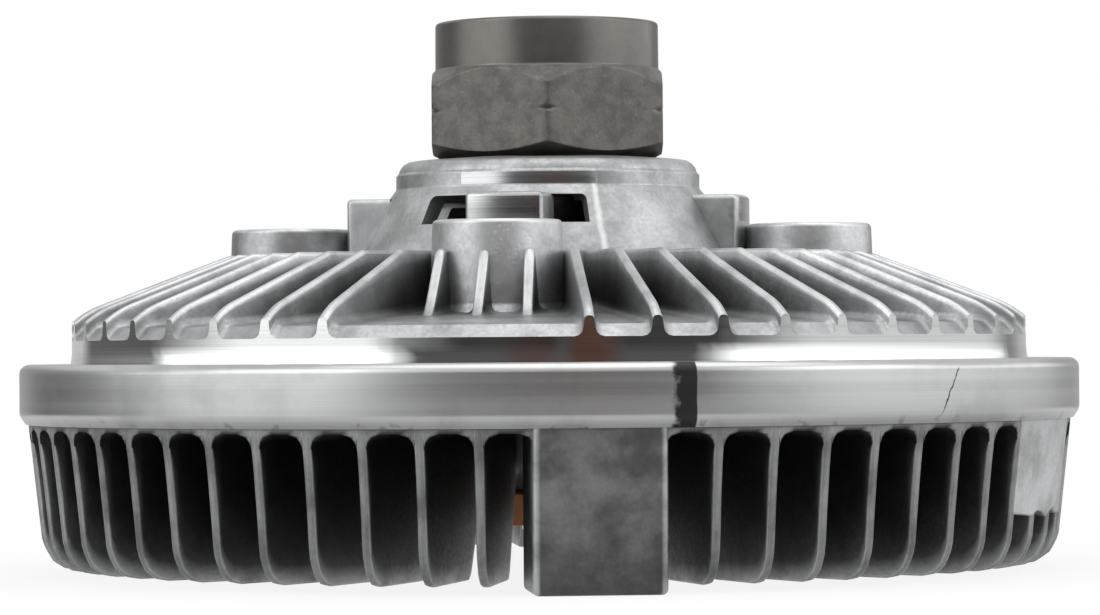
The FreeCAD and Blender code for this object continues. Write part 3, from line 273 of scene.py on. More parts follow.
def fin_field():
    """The whole field: columns run round the part, rows outwards."""
    radii = np.unique(np.concatenate([
        np.linspace(FOOT_RADIUS - 1.5, 49.6, 9), [BEND_RADIUS - 0.5, BEND_RADIUS, BEND_RADIUS + 0.6],
        np.linspace(52.0, 58.0, 9), np.linspace(60.0, END_START, 6),
        np.linspace(71.4, LIP_RADIUS, 4), [73.7, 74.25, PILOT_RADIUS - 0.12]]))
    floor = floor_height(radii)
    run_out = np.clip((radii - SHORT_START) / (SHORT_END - SHORT_START), 0, 1) ** 1.15
    inward = np.clip((68.0 - radii) / 16.0, 0, 1)
    order, side = both_sides(len(FIN_WEAR_AND_HIGHLIGHT))
    edge_here, deep_here = [np.array(mask)[order][:, None] for mask in (FIN_WEAR_AND_HIGHLIGHT, FIN_PAINTED_SHADE)]
    columns, edge, deep = [], [], []
    for cell in range(FIN_COUNT):
        gone = run_out if cell in SHORT_CELLS else 0.0
        top = np.maximum(ridge_height(radii) * (1 - gone) + (floor - 0.2) * gone, floor)
        offsets, heights = housing_section(top, floor, radii * FIN_PITCH / 2)
        alive = np.clip((top - floor) / 2.0, 0, 1)
        angle = FIN_FIRST + cell * FIN_PITCH + side * offsets[order] / radii
        columns.append(at(radii, angle, heights[order]))
        # Wear and a painted highlight only where a fin still stands.
        edge.append(edge_here * alive)
        # Painted shade: as listed down the flanks, a middle value where a fin has run out, and less towards the
        # lip.
        deep.append((deep_here * alive + 0.5 * (1 - alive)) * (0.35 + 0.65 * inward))
    return np.concatenate(columns).transpose(1, 0, 2), np.concatenate(edge).T, np.concatenate(deep).T


field, field_edge, field_deep = fin_field()
rows, around = field.shape[:2]
print(f"Fin field: {rows} radii by {around} columns")

# %% [markdown]
# Below the field comes the rim: the pilot cylinder, polished by the lathe, takes over the outline of
# the fins' ends and runs through a cove to the flange that the cover's lip holds.

# %% Rim of the casting
FLANGE_RADIUS, FLANGE_TOP, FLANGE_BOTTOM = 79.0, 31.2, 28.4
CHAMBER_RADIUS, CHAMBER_ROOF = 71.4, 33.8
BEARING_RADIUS, BEARING_TOP = 23.5, 50.6
CAST, BRIGHT, TURNED, SKIMMED = 0, 1, 2, 3
RIM = [(PILOT_RADIUS, 35.4), (PILOT_RADIUS + 0.02, 34.3), (PILOT_RADIUS + 0.12, 33.4), (PILOT_RADIUS + 0.28, 32.6),
       (PILOT_RADIUS + 0.3, FLANGE_TOP), (FLANGE_RADIUS, FLANGE_TOP), (FLANGE_RADIUS, FLANGE_BOTTOM),
       (CHAMBER_RADIUS, FLANGE_BOTTOM), (CHAMBER_RADIUS, CHAMBER_ROOF), (BEARING_RADIUS, CHAMBER_ROOF)]

angle = np.arctan2(field[-1, :, 1], field[-1, :, 0])
broken_edge = [at(PILOT_RADIUS, angle, field[-1, :, 2] - drop) for drop in (0.12, 0.6)]
rim = np.stack(broken_edge + [at(radius, angle, level) for radius, level in RIM])
blank = np.zeros((len(rim), around))
casting = Surface()
casting.add(np.concatenate([field, rim]), grid_faces(rows + len(rim), around, (1, 1))[:, ::-1],
            np.repeat([CAST] * rows + [BRIGHT] * 5 + [TURNED] * (len(rim) - 5), around),
            np.concatenate([field_edge, blank]), np.concatenate([field_deep, blank]))
print(f"Rim: {len(rim)} rows")

# %% [markdown]
# The bearing tower is a turned shape with four windows. A turned profile gives the wall, and
# round-cornered wedges are cut out of it, which shows the wall's true thickness in the windows.

# %% Tower wall with its windows
TOWER_BORE, STEP_RADIUS = 17.6, 23.9
SHOULDER_TOP, SHOULDER_RADIUS = 52.2, 17.0
CLIP_RADIUS, CLIP_LOW, CLIP_HIGH = 24.8, 34.85, 36.6
WINDOW_LOW, WINDOW_HIGH, WINDOW_CORNER = 53.8, 58.2, 0.9
WINDOW_MIDDLE, WINDOW_HALF = radians(-106.0), radians(29.5)
tower_profile = rounded_profile([
    (TOWER_BORE, 57.4), (22.2, 57.4, 0.8), (25.4, SHOULDER_TOP, 0.8), (SHOULDER_RADIUS, SHOULDER_TOP),
    (SHOULDER_RADIUS, BEARING_TOP), (BEARING_RADIUS, BEARING_TOP), (BEARING_RADIUS, CLIP_HIGH),
    (CLIP_RADIUS, CLIP_HIGH), (CLIP_RADIUS, CLIP_LOW), (BEARING_RADIUS, CLIP_LOW),
    (BEARING_RADIUS, CHAMBER_ROOF), (30.4, CHAMBER_ROOF + 1.5), (30.6, 43.0),
    (FOOT_RADIUS, FOOT_HEIGHT, 0.6), (24.8, 58.5, 0.8), (STEP_RADIUS, 59.7, 0.5),
    (STEP_RADIUS, 61.8, 0.4), (23.5, 62.2, 0.3), (23.2, tower_top, 2.2),
    (TOWER_BORE + 0.5, tower_top, 0.2), (TOWER_BORE, tower_top - 0.5)])


def solid(name, points, faces):
    """A closed mesh object from points in millimetres, with its normals outwards, for booleans."""
    mesh = plain_mesh(name, points * MM, faces)
    shape = bmesh.new()
    shape.from_mesh(mesh)
    bmesh.ops.remove_doubles(shape, verts=shape.verts, dist=1e-7)
    bmesh.ops.recalc_face_normals(shape, faces=shape.faces)
    shape.to_mesh(mesh)
    shape.free()
    return add_object(name, mesh)


def window_wedge(middle):
    """A wedge with a round-cornered outline in angle and height, right through the wall."""
    wall, count = 26.0, 14
    half = WINDOW_HALF * wall
    outline = rounded_profile([(-half, WINDOW_LOW), (-half, WINDOW_HIGH, WINDOW_CORNER),
                               (half, WINDOW_HIGH, WINDOW_CORNER), (half, WINDOW_LOW)], steps=5)
    span = np.linspace(-1, 1, count + 2)[1:-1] * (half - WINDOW_CORNER)
    ceiling = np.stack([span, np.full(count, WINDOW_HIGH)], axis=1)
    ground = np.stack([-span, np.full(count, WINDOW_LOW)], axis=1)
    loop = np.concatenate([outline[1:7], ceiling, outline[7:], ground, outline[:1]])
    points = [at(radius, middle + loop[:, 0] / wall, loop[:, 1]) for radius in (14.0, 34.0)]
    inner = np.arange(len(loop))
    outer = inner + len(loop)
    sides = np.stack([inner, np.roll(inner, -1), np.roll(outer, -1), outer], axis=1)
    return solid("wedge", np.stack(points), sides.tolist() + [inner[::-1].tolist(), outer.tolist()])


points, faces = turned(tower_profile, 160, closed=True)
tower = solid("bearing_tower", points, faces.tolist())
for number in range(4):
    wedge = window_wedge(WINDOW_MIDDLE + number * TURN / 4)
    opening = tower.modifiers.new("window", "BOOLEAN")
    opening.operation, opening.solver, opening.object = "DIFFERENCE", "EXACT", wedge
    bpy.context.view_layer.update()
    graph = bpy.context.evaluated_depsgraph_get()
    result = bpy.data.meshes.new_from_object(tower.evaluated_get(graph))
    tower.modifiers.clear()
    tower.data = result
    bpy.data.objects.remove(wedge)
print(f"Tower: {len(tower.data.polygons)} faces after the windows")

# %% [markdown]
# Four round bosses carry the fan's bolts, and four lugs with turned ends centre it. Bosses are turned
# profiles with a fillet at the foot, lugs are blocks with every edge rounded alike.

# %% Bosses and lugs
BOSS_CIRCLE, BOSS_RADIUS, BOSS_TOP, BOSS_COLUMNS = 41.4, 9.65, 53.8, 64
BOSS_FIRST = radians(-100.5)
LUG_FIRST, LUG_WIDTH, LUG_END, LUG_TOP = radians(-102.4), 12.0, 31.75, 58.4
HOLE_RADIUS, HOLE_DEPTH, HOLE_PITCH = 3.4, 14.0, 1.25
DISC_CENTRE = 0.02
boss_profile = rounded_profile([
    (BOSS_RADIUS + 1.6, 39.0), (BOSS_RADIUS + 0.5, 41.2, 1.2), (BOSS_RADIUS, BOSS_TOP, 0.7),
    (HOLE_RADIUS + 0.9, BOSS_TOP, 0.15), (HOLE_RADIUS + 0.1, BOSS_TOP - 0.8)])


def thread_wall(inner, pitch, low, high, centre=(0.0, 0.0), segments=48, steps=4):
    """A thread's wall: radius = inner + depth * (1 - |saw|), where the saw follows height / pitch
    minus the turn, so the crest climbs by one pitch a turn. Depth is 0.54 of the pitch."""
    rows = int((high - low) / pitch * steps) + 1
    height = np.linspace(low, high, rows)[:, None]
    angle = np.arange(segments) / segments * TURN
    saw = np.abs(2 * ((height / pitch - angle / TURN) % 1.0) - 1)
    fade = np.clip((high - height) / pitch, 0, 1) * np.clip((height - low) / pitch, 0, 1)
    radius = inner + 0.54 * pitch * (1 - saw) * fade
    return at(radius, angle, height, centre), grid_faces(rows, segments, (0, 1))[:, ::-1]


def rounded_block(low, high, rounding, turn, steps=4, shape=None):
    """A block with every edge rounded: each point of a cube's grid is clamped to a smaller core and
    pushed out by the rounding. A shape may then move the points, and last the block is turned."""
    low, high = np.array((low, high), dtype=float)
    half, middle = (high - low) / 2, (high + low) / 2
    near = np.linspace(0, 1, steps + 1) * rounding
    between = np.linspace(-1, 1, 11)[1:-1]
    places = [np.concatenate([near - size, between * (size - rounding), size - near[::-1]]) for size in half]
    count = len(places[0])
    pieces, faces = [], []
    for axis in range(3):
        for sign in (-1.0, 1.0):
            u, v = places[axis - 2][:, None], places[axis - 1]
            p = np.roll(np.stack(np.broadcast_arrays(sign * half[axis], u, v), axis=-1), axis, axis=-1)
            core = np.clip(p, rounding - half, half - rounding)
            p = core + (p - core) / np.linalg.norm(p - core, axis=-1, keepdims=True) * rounding
            block = grid_faces(count, count)
            faces.append((block[:, ::-1] if sign > 0 else block) + len(pieces) * count ** 2)
            pieces.append(p.reshape(-1, 3) + middle)
    points = np.concatenate(pieces)
    return spun(shape(points) if shape else points, turn), np.concatenate(faces)


def turned_end(points):
    """The fan's pilot: a block's outer end follows the cylinder x = sqrt(R * R - y * y)."""
    outer = np.clip((points[:, 0] - 28.0) / (LUG_END - 28.0), 0, 1)
    points[:, 0] -= outer * (LUG_END - np.sqrt(LUG_END ** 2 - points[:, 1] ** 2))
    return points


top = boss_profile[:, 1] > BOSS_TOP - 0.02
boss_finish = np.repeat(np.where(top[:-1] & top[1:], TURNED, CAST), BOSS_COLUMNS)
# A band of wear and painted highlight round each boss's top edge.
boss_edge = np.repeat(np.exp(-((boss_profile[:, 1] - BOSS_TOP) / 0.6) ** 2), BOSS_COLUMNS)
bottom = BOSS_TOP - HOLE_DEPTH
for number in range(4):
    angle = BOSS_FIRST + number * TURN / 4
    centre = (BOSS_CIRCLE * cos(angle), BOSS_CIRCLE * sin(angle))
    casting.add(*turned(boss_profile, BOSS_COLUMNS, centre=centre), boss_finish, boss_edge)
    casting.add(*thread_wall(HOLE_RADIUS, HOLE_PITCH, bottom, BOSS_TOP - 0.8, centre, segments=32), TURNED)
    casting.add(*turned([(HOLE_RADIUS, bottom), (DISC_CENTRE, bottom)], 32, centre=centre), TURNED)
    points, faces = rounded_block((22.4, -LUG_WIDTH / 2, 40.0), (LUG_END, LUG_WIDTH / 2, LUG_TOP), 0.8,
                                  LUG_FIRST + number * TURN / 4, shape=turned_end)
    middle = points[faces].mean(axis=1)
    at_end = np.hypot(middle[:, 0], middle[:, 1]) > LUG_END - 0.06
    # The lugs: an even, light wear and painted highlight all over.
    casting.add(points, faces, np.where(at_end & (middle[:, 2] > BOSS_TOP), SKIMMED, CAST), 0.35)
print("Bosses, threads and lugs added")

# %% [markdown]
# The front casting hangs under the ring, and its sixty fins point down, so the same idea works upside
# down. Where the fins' ends stand nearly upright, the rounding is stretched by the slope, so that it
# keeps its width across the edge. The grid closes on itself inside the web.

# %% The front casting's fins
COVER_FINS, COVER_FIRST = 60, radians(-91.0)
COVER_PITCH = TURN / COVER_FINS
COVER_TIP_HALF, COVER_TIP_ROUND, COVER_DRAFT, COVER_FOOT = 0.675, 0.42, 0.021, 2.3
FLOOR_LEVEL, WEB_LEVEL = 17.0, 23.8
COVER_RADII = np.array([
    45.0, 46.0, 46.84, 48.5, 50.5, 52.4, 53.6, 54.2, 55.2, 56.6, 60.0, 64.0, 68.0, 71.0, 73.2, 74.2, 75.2, 76.4,
    77.4, 78.2, 78.8, 79.3, 79.65, 79.9, 80.3, 80.7, 81.0, 81.25, 81.38, 81.47, 81.54])
# Wear and a painted highlight over a cover fin's section, brightest at the tip's rounding.
COVER_WEAR_AND_HIGHLIGHT = [0.22, 0.35, 1.0, 0.9] + [0.0] * 7
# Painted shade over a cover fin's section: little at the tip, rising up the flank, full at the web.
COVER_PAINTED_SHADE = [0.1, 0.0, 0.0, 0.0, 0.428, 0.675] + [1.0] * 5


def cover_field():
    """Underside of the front casting as a height over radius and angle: the web is the level between
    the fins, the tip their lower outline, which is steep at both ends."""
    radii = COVER_RADII
    web = np.interp(radii, [46.84, 54.0, 79.2, 81.54], [FLOOR_LEVEL, WEB_LEVEL, WEB_LEVEL, 22.75])
    tip = np.interp(radii, [45.0, 54.0, 55.2, 74.4, 76.6, 78.2, 79.2, 79.65, 81.54],
                    [17.0, 1.7, 0.95, 0.95, 1.35, 2.5, 4.2, 5.6, 22.6])
    rise = web - tip
    stretch = np.sqrt(1 + np.gradient(tip, radii) ** 2)
    ridge = np.minimum(COVER_TIP_ROUND * stretch, 0.45 * rise)
    root = COVER_TIP_HALF + COVER_DRAFT * rise
    half_cell = radii * COVER_PITCH / 2
    foot = np.minimum(COVER_FOOT, 0.8 * (half_cell - root))
    offsets, heights = fin_section(tip, web, COVER_TIP_HALF, root, (COVER_TIP_ROUND, -ridge), (foot, -foot),
                                   [0.12, 0.5, 1.0], [25, 50, 90])
    offsets, heights = np.vstack([offsets, half_cell]), np.vstack([heights, web])
    order, side = both_sides(len(COVER_WEAR_AND_HIGHLIGHT))
    cells = (COVER_FIRST + np.arange(COVER_FINS) * COVER_PITCH)[:, None, None]
    angle = (cells + side * offsets[order] / radii).reshape(-1, len(radii)).T
    level = np.tile(np.maximum(heights, tip)[order], (COVER_FINS, 1)).T
    on_cone = (level < tip[:, None] + 0.02) & (radii[:, None] > 80.0)
    # On the cone at the fins' outer ends: an even middle wear and painted highlight.
    edge = np.where(on_cone, 0.5, np.tile(np.array(COVER_WEAR_AND_HIGHLIGHT)[order], COVER_FINS))
    # Painted shade: none on that cone, and more with height, towards the web under the cover.
    deep = np.where(on_cone, 0.0, np.tile(np.array(COVER_PAINTED_SHADE)[order], COVER_FINS))
    deep *= np.clip(0.45 + level / 14.0, 0, 1)
    inside = np.stack([at(radius, angle[-1], height) for radius, height in
                       ((81.6, 23.6), (81.4, 24.7), (54.6, 24.7), (47.2, 17.7), (45.0, 17.4))])
    blank = np.zeros(inside.shape[:2])
    # The rows inside the web: an even wear and painted highlight, and no painted shade.
    return (np.concatenate([at(radii[:, None], angle, level), inside]),
            np.concatenate([edge, blank + 0.4]), np.concatenate([deep, blank]))


cover_fins = Surface()
points, edge, deep = cover_field()
cover_fins.add(points, grid_faces(*points.shape[:2], (1, 1)), CAST, edge, deep)
print(f"Cover fins: {points.shape[0]} radii by {points.shape[1]} columns")

# %% [markdown]
# The ring, the lip rolled over the flange, the reservoir and the ribs that shear the fluid are one
# turned profile, listed once round, up the outside and back through the inside.

# %% Turned body of the front casting
LIP_INNER, RING_BOTTOM, BODY_COLUMNS = 75.2, 23.3, 240
SEAT = FLANGE_BOTTOM - 0.05
LAND_TOP, GROOVE_BOTTOM = 29.6, 26.8
PLATE_SEAT, RESERVOIR_FLOOR = 26.0, 20.0
VALVE_BORE = 3.55
body_corners = [
    (VALVE_BORE, 12.6), (11.0, 12.6, 0.5), (12.4, FLOOR_LEVEL, 0.8), (45.6, FLOOR_LEVEL), (46.2, 17.9),
    (54.4, 24.4), (81.3, 24.4), (81.95, RING_BOTTOM, 0.15), (ring_radius, 24.8, 2.0),
    (ring_radius, ring_top, 1.5), (LIP_INNER, ring_top, 0.4), (LIP_INNER, FLANGE_TOP), (79.05, FLANGE_TOP),
    (79.05, SEAT), (77.8, SEAT), (77.8, SEAT - 1.65), (75.4, SEAT - 1.65), (75.4, SEAT),
    (CHAMBER_RADIUS, SEAT), (CHAMBER_RADIUS, GROOVE_BOTTOM), (66.7, GROOVE_BOTTOM), (66.7, LAND_TOP)]
for land in (62.5, 58.3, 54.1):
    body_corners += [(land + 2.6, LAND_TOP), (land + 2.6, GROOVE_BOTTOM), (land, GROOVE_BOTTOM),
                     (land, LAND_TOP)]
body_corners += [(51.9, LAND_TOP), (50.65, LAND_TOP), (50.65, PLATE_SEAT), (45.5, PLATE_SEAT),
                 (45.5, RESERVOIR_FLOOR), (7.5, RESERVOIR_FLOOR), (7.5, 23.4, 0.4), (VALVE_BORE, 23.4)]
body_profile = rounded_profile(body_corners, steps=5)
radius, height = ((body_profile + np.roll(body_profile, -1, axis=0)) / 2).T
cut_by_tool = (radius > 81.5) | (height > FLANGE_BOTTOM - 1)
ring_side = (radius > 81.5) & (height > RING_BOTTOM)
cover_body = Surface()
cover_body.add(*turned(body_profile, BODY_COLUMNS, closed=True),
               np.repeat(np.where(ring_side, 2, np.where(cut_by_tool, 1, 0)), BODY_COLUMNS))
print(f"Cover body: {len(body_profile)} corners in its profile")

# %% [markdown]
# Three solid pads carry the part on a bench. A fourth ends part of the way down, with the jagged
# lower edge that the casting left; it is a block bent round the axis.

# %% Standing pads and the part-height pad
PAD_FIRST, PAD_HALF, PAD_TOP = radians(-85.0), 9.55, 24.3
STUB_ANGLE, STUB_BOTTOM, STUB_BEND = radians(-22.0), 9.3, 80.0
STUB_HALF = radians(9.0) * STUB_BEND


def leaning_face(points):
    """A standing pad's outer face leans out a little towards the ring, as cast."""
    outer = np.clip((points[:, 0] - 74.0) / 6.0, 0, 1)
    points[:, 0] += outer * 0.95 * np.clip(points[:, 2] / 23.0, 0, 1) ** 0.7
    return points


def short_pad(points):
    """From radius, arc length and height: a leaning face, a jagged lower edge, wrapped round the axis."""
    x, y, z = points.T
    outer = np.clip((x - 76) / 3.5, 0, 1)
    jag = 0.5 * np.sin(y * 1.9) + 0.35 * np.sin(y * 4.3 + 1.0) + 0.2 * np.sin(y * 9.1)
    low = np.exp(-((z - STUB_BOTTOM) / 0.9) ** 2)
    return at(x + outer * (z - STUB_BOTTOM) * 0.109, y / STUB_BEND, z + low * 0.8 * jag * outer)


pads = Surface()
for number in range(3):
    angle = PAD_FIRST + number * TURN / 3
    points, faces = rounded_block((64.0, -PAD_HALF, 0.0), (80.7, PAD_HALF, PAD_TOP), 0.9, angle, shape=leaning_face)
    x, y, z = spun(points, -angle).T
    outer = np.clip(x - 78, 0, 1)
    # Outer faces of the pads: wear with a painted highlight near the side edges, and painted shade towards the
    # bottom.
    pads.add(points, faces, 0, np.abs(y) / PAD_HALF * outer, np.clip(1 - z / 17.0, 0, 1) * outer * 0.62)
# The part-height pad: an even, light wear and painted highlight.
pads.add(*rounded_block((70.0, -STUB_HALF, STUB_BOTTOM), (80.15, STUB_HALF, PAD_TOP), 0.45,
                        STUB_ANGLE, steps=12, shape=short_pad), 1, 0.3)
print("Pads added")

# %% [markdown]
# The shaft is a turned bar with six flats. The radius is the smaller of the turned profile and
# 18 / cos(angle from the flat's middle), which draws the chamfers' curved edges by itself. A second
# limit just under the corner rounds the long edges.

# %% The drive shaft with its hexagon and thread
FLAT, CORNER, HEX_LOW, HEX_HIGH, SHAFT_COLUMNS = 18.0, 20.62, 64.4, 78.62, 240
BORE, BORE_BOTTOM, THREAD_PITCH = 14.2, 66.0, 1.5
FINE_ROW, COARSE_ROW = 0.18, 0.9
shaft_profile = rounded_profile([
    (0.05, 27.6), (7.9, 27.6), (8.5, 28.2), (8.5, 28.4), (7.9, 28.4), (7.9, 29.4),
    (8.5, 29.4), (8.5, 35.0), (10.0, 35.0, 0.3), (10.0, 50.6), (13.2, 50.6, 0.3), (13.2, 52.8, 0.3),
    (12.0, 52.8), (12.0, 58.5, 1.2), (16.6, 60.2, 0.4), (16.6, 64.45), (20.7, 66.5, 0.4), (20.7, 70.9),
    (20.1, 71.6), (20.7, 72.3), (20.7, 75.5, 0.5), (17.6, 78.5, 0.5), (17.55, shaft_top, 0.55),
    (15.0, shaft_top, 0.1), (BORE, shaft_top - 0.8)])
span = [shaft_profile[:1]]
for start, end in zip(shaft_profile[:-1], shaft_profile[1:]):
    step = FINE_ROW if min(abs(end - start)) > 0.3 else COARSE_ROW
    pieces = max(1, int(np.linalg.norm(end - start) / step)) if 60 < end[1] < 80 else 1
    span.append(start + (end - start) * (np.arange(1, pieces + 1) / pieces)[:, None])
radius, height = np.concatenate(span).T[..., None]
angle = np.arange(SHAFT_COLUMNS) / SHAFT_COLUMNS * TURN
from_flat = (angle - radians(-60)) % (TURN / 6)
from_flat = np.minimum(from_flat, TURN / 6 - from_flat)
flats = np.minimum(FLAT / np.cos(from_flat), CORNER)
radius = np.where((height > HEX_LOW) & (height < HEX_HIGH), np.minimum(radius, flats), radius)
forged = (height[:-1] > HEX_LOW) & (height[1:] < HEX_HIGH - 0.22)
shaft = Surface(sharp=30.0)
shaft.add(at(radius, angle, height), grid_faces(len(height), SHAFT_COLUMNS, (0, 1)),
          np.repeat(np.where(forged, 0, 1), SHAFT_COLUMNS))
shaft.add(*thread_wall(BORE, THREAD_PITCH, BORE_BOTTOM, shaft_top - 0.8, segments=96, steps=6), 2)
shaft.add(*turned([(BORE, BORE_BOTTOM), (DISC_CENTRE, BORE_BOTTOM)], 96), 1)
print(f"Shaft: {len(height)} rows by {SHAFT_COLUMNS} columns")

# %% [markdown]
# The thermostatic coil is a flat strip wound in half turns about two centres. Its inner end lies in
# the slot of the valve's shaft and turns with it, the first half turn gives way, and the outer turns
# stay with the cover. That makes three pieces of one strip.

# %% The coil in three pieces
COIL_LOW, COIL_WIDTH, COIL_HALF, COIL_BEVEL = 7.4, 4.9, 0.5, 0.12
COIL_START, COIL_SHIFT, COIL_TANG, COIL_TURN = 6.2, 0.8, -4.4, radians(100.0)


def half_turn(number, steps=28):
    """Middle line and outward directions of one half turn: its centre lies one shift to the side, and
    the radius grows by two shifts a half turn."""
    way = 1 if number % 2 == 0 else -1
    angle = np.linspace(0, pi, steps + 1)
    outward = way * np.stack([np.cos(angle), np.sin(angle)], axis=1)
    return np.array([-way * COIL_SHIFT, 0.0]) + (COIL_START + (2 * number + 1) * COIL_SHIFT) * outward, outward


def strip(name, line, outward):
    """A strip with broken edges along a line, closed at both ends, turned to the coil's place."""
    h, b, top = COIL_HALF, COIL_BEVEL, COIL_WIDTH
    section = np.array([(h, top - b), (h, b), (h - b, 0), (b - h, 0), (-h, b), (-h, top - b), (b - h, top),
                        (h - b, top)])
    size = np.concatenate([[0.02], np.ones(len(line)), [0.02]])[:, None]
    line, outward = [np.concatenate([row[:1], row, row[-1:]])[:, None] for row in (line, outward)]
    flat = line + outward * (section[:, 0] * size)[..., None]
    height = COIL_LOW + top / 2 + (section[:, 1] - top / 2) * size
    surface = Surface()
    surface.add(spun(np.dstack([flat, height]), COIL_TURN), grid_faces(*height.shape, (0, 1)))
    return surface.build(name)


tang_line = np.stack([np.linspace(COIL_TANG, COIL_START, 8), np.zeros(8)], axis=1)
coil_tang = strip("coil_tang", tang_line, np.tile([0.0, -1.0], (8, 1)))
coil_first = strip("coil_first_half_turn", *half_turn(0))
outer_turns = [half_turn(number) for number in range(1, 8)]
joined = [np.concatenate([part[:-1] for part in parts] + [parts[-1][-1:]]) for parts in zip(*outer_turns)]
coil_turns = strip("coil_outer_turns", *joined)
print("Coil strip:", len(coil_turns.data.polygons), "faces in its outer turns")

# %% [markdown]
# Every finish starts from the same two effects: the mottled skin of a casting, and the fine rings
# that a lathe leaves. Each is a node group, so one effect serves many materials.

# %% A short way to write shader nodes
class Wire:
    """An output socket that takes part in formulas; each sign adds one Math node to its tree."""

    def __init__(self, socket):
        self.socket, self.tree = socket, socket.id_data

    __add__ = lambda a, b: maths("ADD", a, b)
    __sub__ = lambda a, b: maths("SUBTRACT", a, b)
    __mul__ = lambda a, b: maths("MULTIPLY", a, b)
    __truediv__ = lambda a, b: maths("DIVIDE", a, b)
    __rtruediv__ = lambda a, b: maths("DIVIDE", b, a)


def fill(made, inputs):
    """Sets a node's inputs by name or number: wires are linked, other values are written."""
    for key, value in dict(inputs).items():
        if isinstance(value, Wire):
            value.tree.links.new(value.socket, made.inputs[key])
        else:
            made.inputs[key].default_value = value


def node(kind, inputs=(), output=0, tree=None, **properties):
    """Adds a shader node to a tree, or to its first wire's; returns one output, or all with None."""
    inputs = dict(inputs)
    if tree is None:
        tree = next(value.tree for value in inputs.values() if isinstance(value, Wire))
    made = tree.nodes.new("ShaderNode" + kind)
    for name, value in properties.items():
        setattr(made, name, value)
    fill(made, inputs)
    return [Wire(socket) for socket in made.outputs] if output is None else Wire(made.outputs[output])


def maths(operation, *values):
    """One Math node with its inputs in order."""
    return node("Math", enumerate(values), operation=operation)


def smooth(value, low, high, to_low=0.0, to_high=1.0, kind="SMOOTHSTEP"):
    """A smooth step of a value between two limits, or a straight one with kind LINEAR."""
    return node("MapRange", enumerate((value, low, high, to_low, to_high)), interpolation_type=kind)


def noise(place, scale, detail, roughness=0.5):
    """Noise with its scale in waves a metre."""
    return node("TexNoise", {"Vector": place, "Scale": scale, "Detail": detail, "Roughness": roughness})


def mix(factor, first, second, mode="MIX"):
    """A colour mix; A is input 6 and B is input 7 of the node, its result is output 2."""
    return node("Mix", {0: factor, 6: first, 7: second}, output=2, data_type="RGBA", blend_type=mode)


def mask(tree, name):
    """A float attribute of the mesh."""
    return node("Attribute", output=2, tree=tree, attribute_name=name)


def cylinder_coordinates(place):
    """Radius, angle over a turn, and height of a point, from its x, y and z."""
    x, y, z = node("SeparateXYZ", {0: place}, output=None)
    return maths("SQRT", x * x + y * y), maths("ARCTAN2", y, x), z


def effect(name, values, results, formula):
    """A node group: a formula takes a vector and named values, and gives the named results."""
    tree = bpy.data.node_groups.new(name, "ShaderNodeTree")
    tree.interface.new_socket("Vector", in_out="INPUT", socket_type="NodeSocketVector")
    for way, labels in (("INPUT", values), ("OUTPUT", results)):
        for label in labels:
            tree.interface.new_socket(label, in_out=way, socket_type="NodeSocketFloat")
    given = tree.nodes.new("NodeGroupInput").outputs
    wires = [Wire(given[label]) for label in ["Vector", *values]]
    fill(tree.nodes.new("NodeGroupOutput"), zip(results, formula(*wires)))
    return tree


def use(group, place, *values):
    """Places a group in a material, with its values in order, and returns all its results."""
    return node("Group", enumerate((place, *values)), output=None, node_tree=group)


# %% The casting's skin and the lathe's marks
def skin_formula(place, patch_size, grain_size, pit_amount):
    """Broad mottling, fine grain and small pits, sizes in millimetres."""
    patches = noise(place, 1000.0 / patch_size, 5.0, 0.62)
    grain = noise(place, 1000.0 / grain_size, 3.0, 0.6)
    pits = node("TexVoronoi", {"Vector": place, "Scale": 620.0 / grain_size})
    hollow = smooth(pits, 0.0, 0.42, 1.0, 0.0) * smooth(patches, 0.5, 0.62) * pit_amount
    return patches, grain - hollow * 0.5, grain * 0.6 + patches * 0.8 - hollow


def lathe_formula(place, line_width, length):
    """Noise that is long round the part and short across it, a line's width in millimetres."""
    radius, angle, z = cylinder_coordinates(place)
    across = 1000.0 / line_width
    stretched = node("CombineXYZ", {0: radius * across, 1: z * across, 2: angle / length})
    broad = node("VectorMath", {0: stretched, 1: (0.09, 0.09, 1.5)}, operation="MULTIPLY")
    return noise(stretched, 1.0, 2.0), noise(broad, 1.0, 3.0)


cast_skin = effect("Cast skin", ["Patch Size", "Grain Size", "Pit Amount"], ["Patches", "Grain", "Height"],
                   skin_formula)
lathe_marks = effect("Lathe marks", ["Line Width", "Length"], ["Mark", "Broad"], lathe_formula)
print("Effects:", [group.name for group in bpy.data.node_groups])

# %% [markdown]
# The cast metal is mottled. Its ridges are lighter, partly where hands and tools have rubbed them and
# partly as a painted highlight. Its valleys are darker, and that is painted shade. The mesh's masks
# say how near a point is to a ridge, and how much painted shade it gets.

# %% Materials for cast and turned metal
def new_material(name, **constants):
    """A material, its shader with constant sockets set on it, and the object's coordinates."""
    material = bpy.data.materials.new(name)
    material.use_nodes = True
    shader = material.node_tree.nodes["Principled BSDF"]
    fill(shader, {socket.replace("_", " "): value for socket, value in constants.items()})
    return material, shader, node("TexCoord", output="Object", tree=material.node_tree)


def finish_shader(shader, colour, rough_from, rough, height, depth):
    """Feeds the colour, a roughness between two values, and a bump with its swing in millimetres."""
    bump = node("Bump", {"Strength": 1.0, "Distance": depth * MM, "Height": height})
    fill(shader, {"Base Color": colour, "Roughness": smooth(*rough_from, *rough, kind="LINEAR"), "Normal": bump})


def grey(value, warm=0.0):
    """A grey with a little warmth: red up and blue down by the same share."""
    return (value * (1 + warm), value, value * (1 - warm), 1.0)


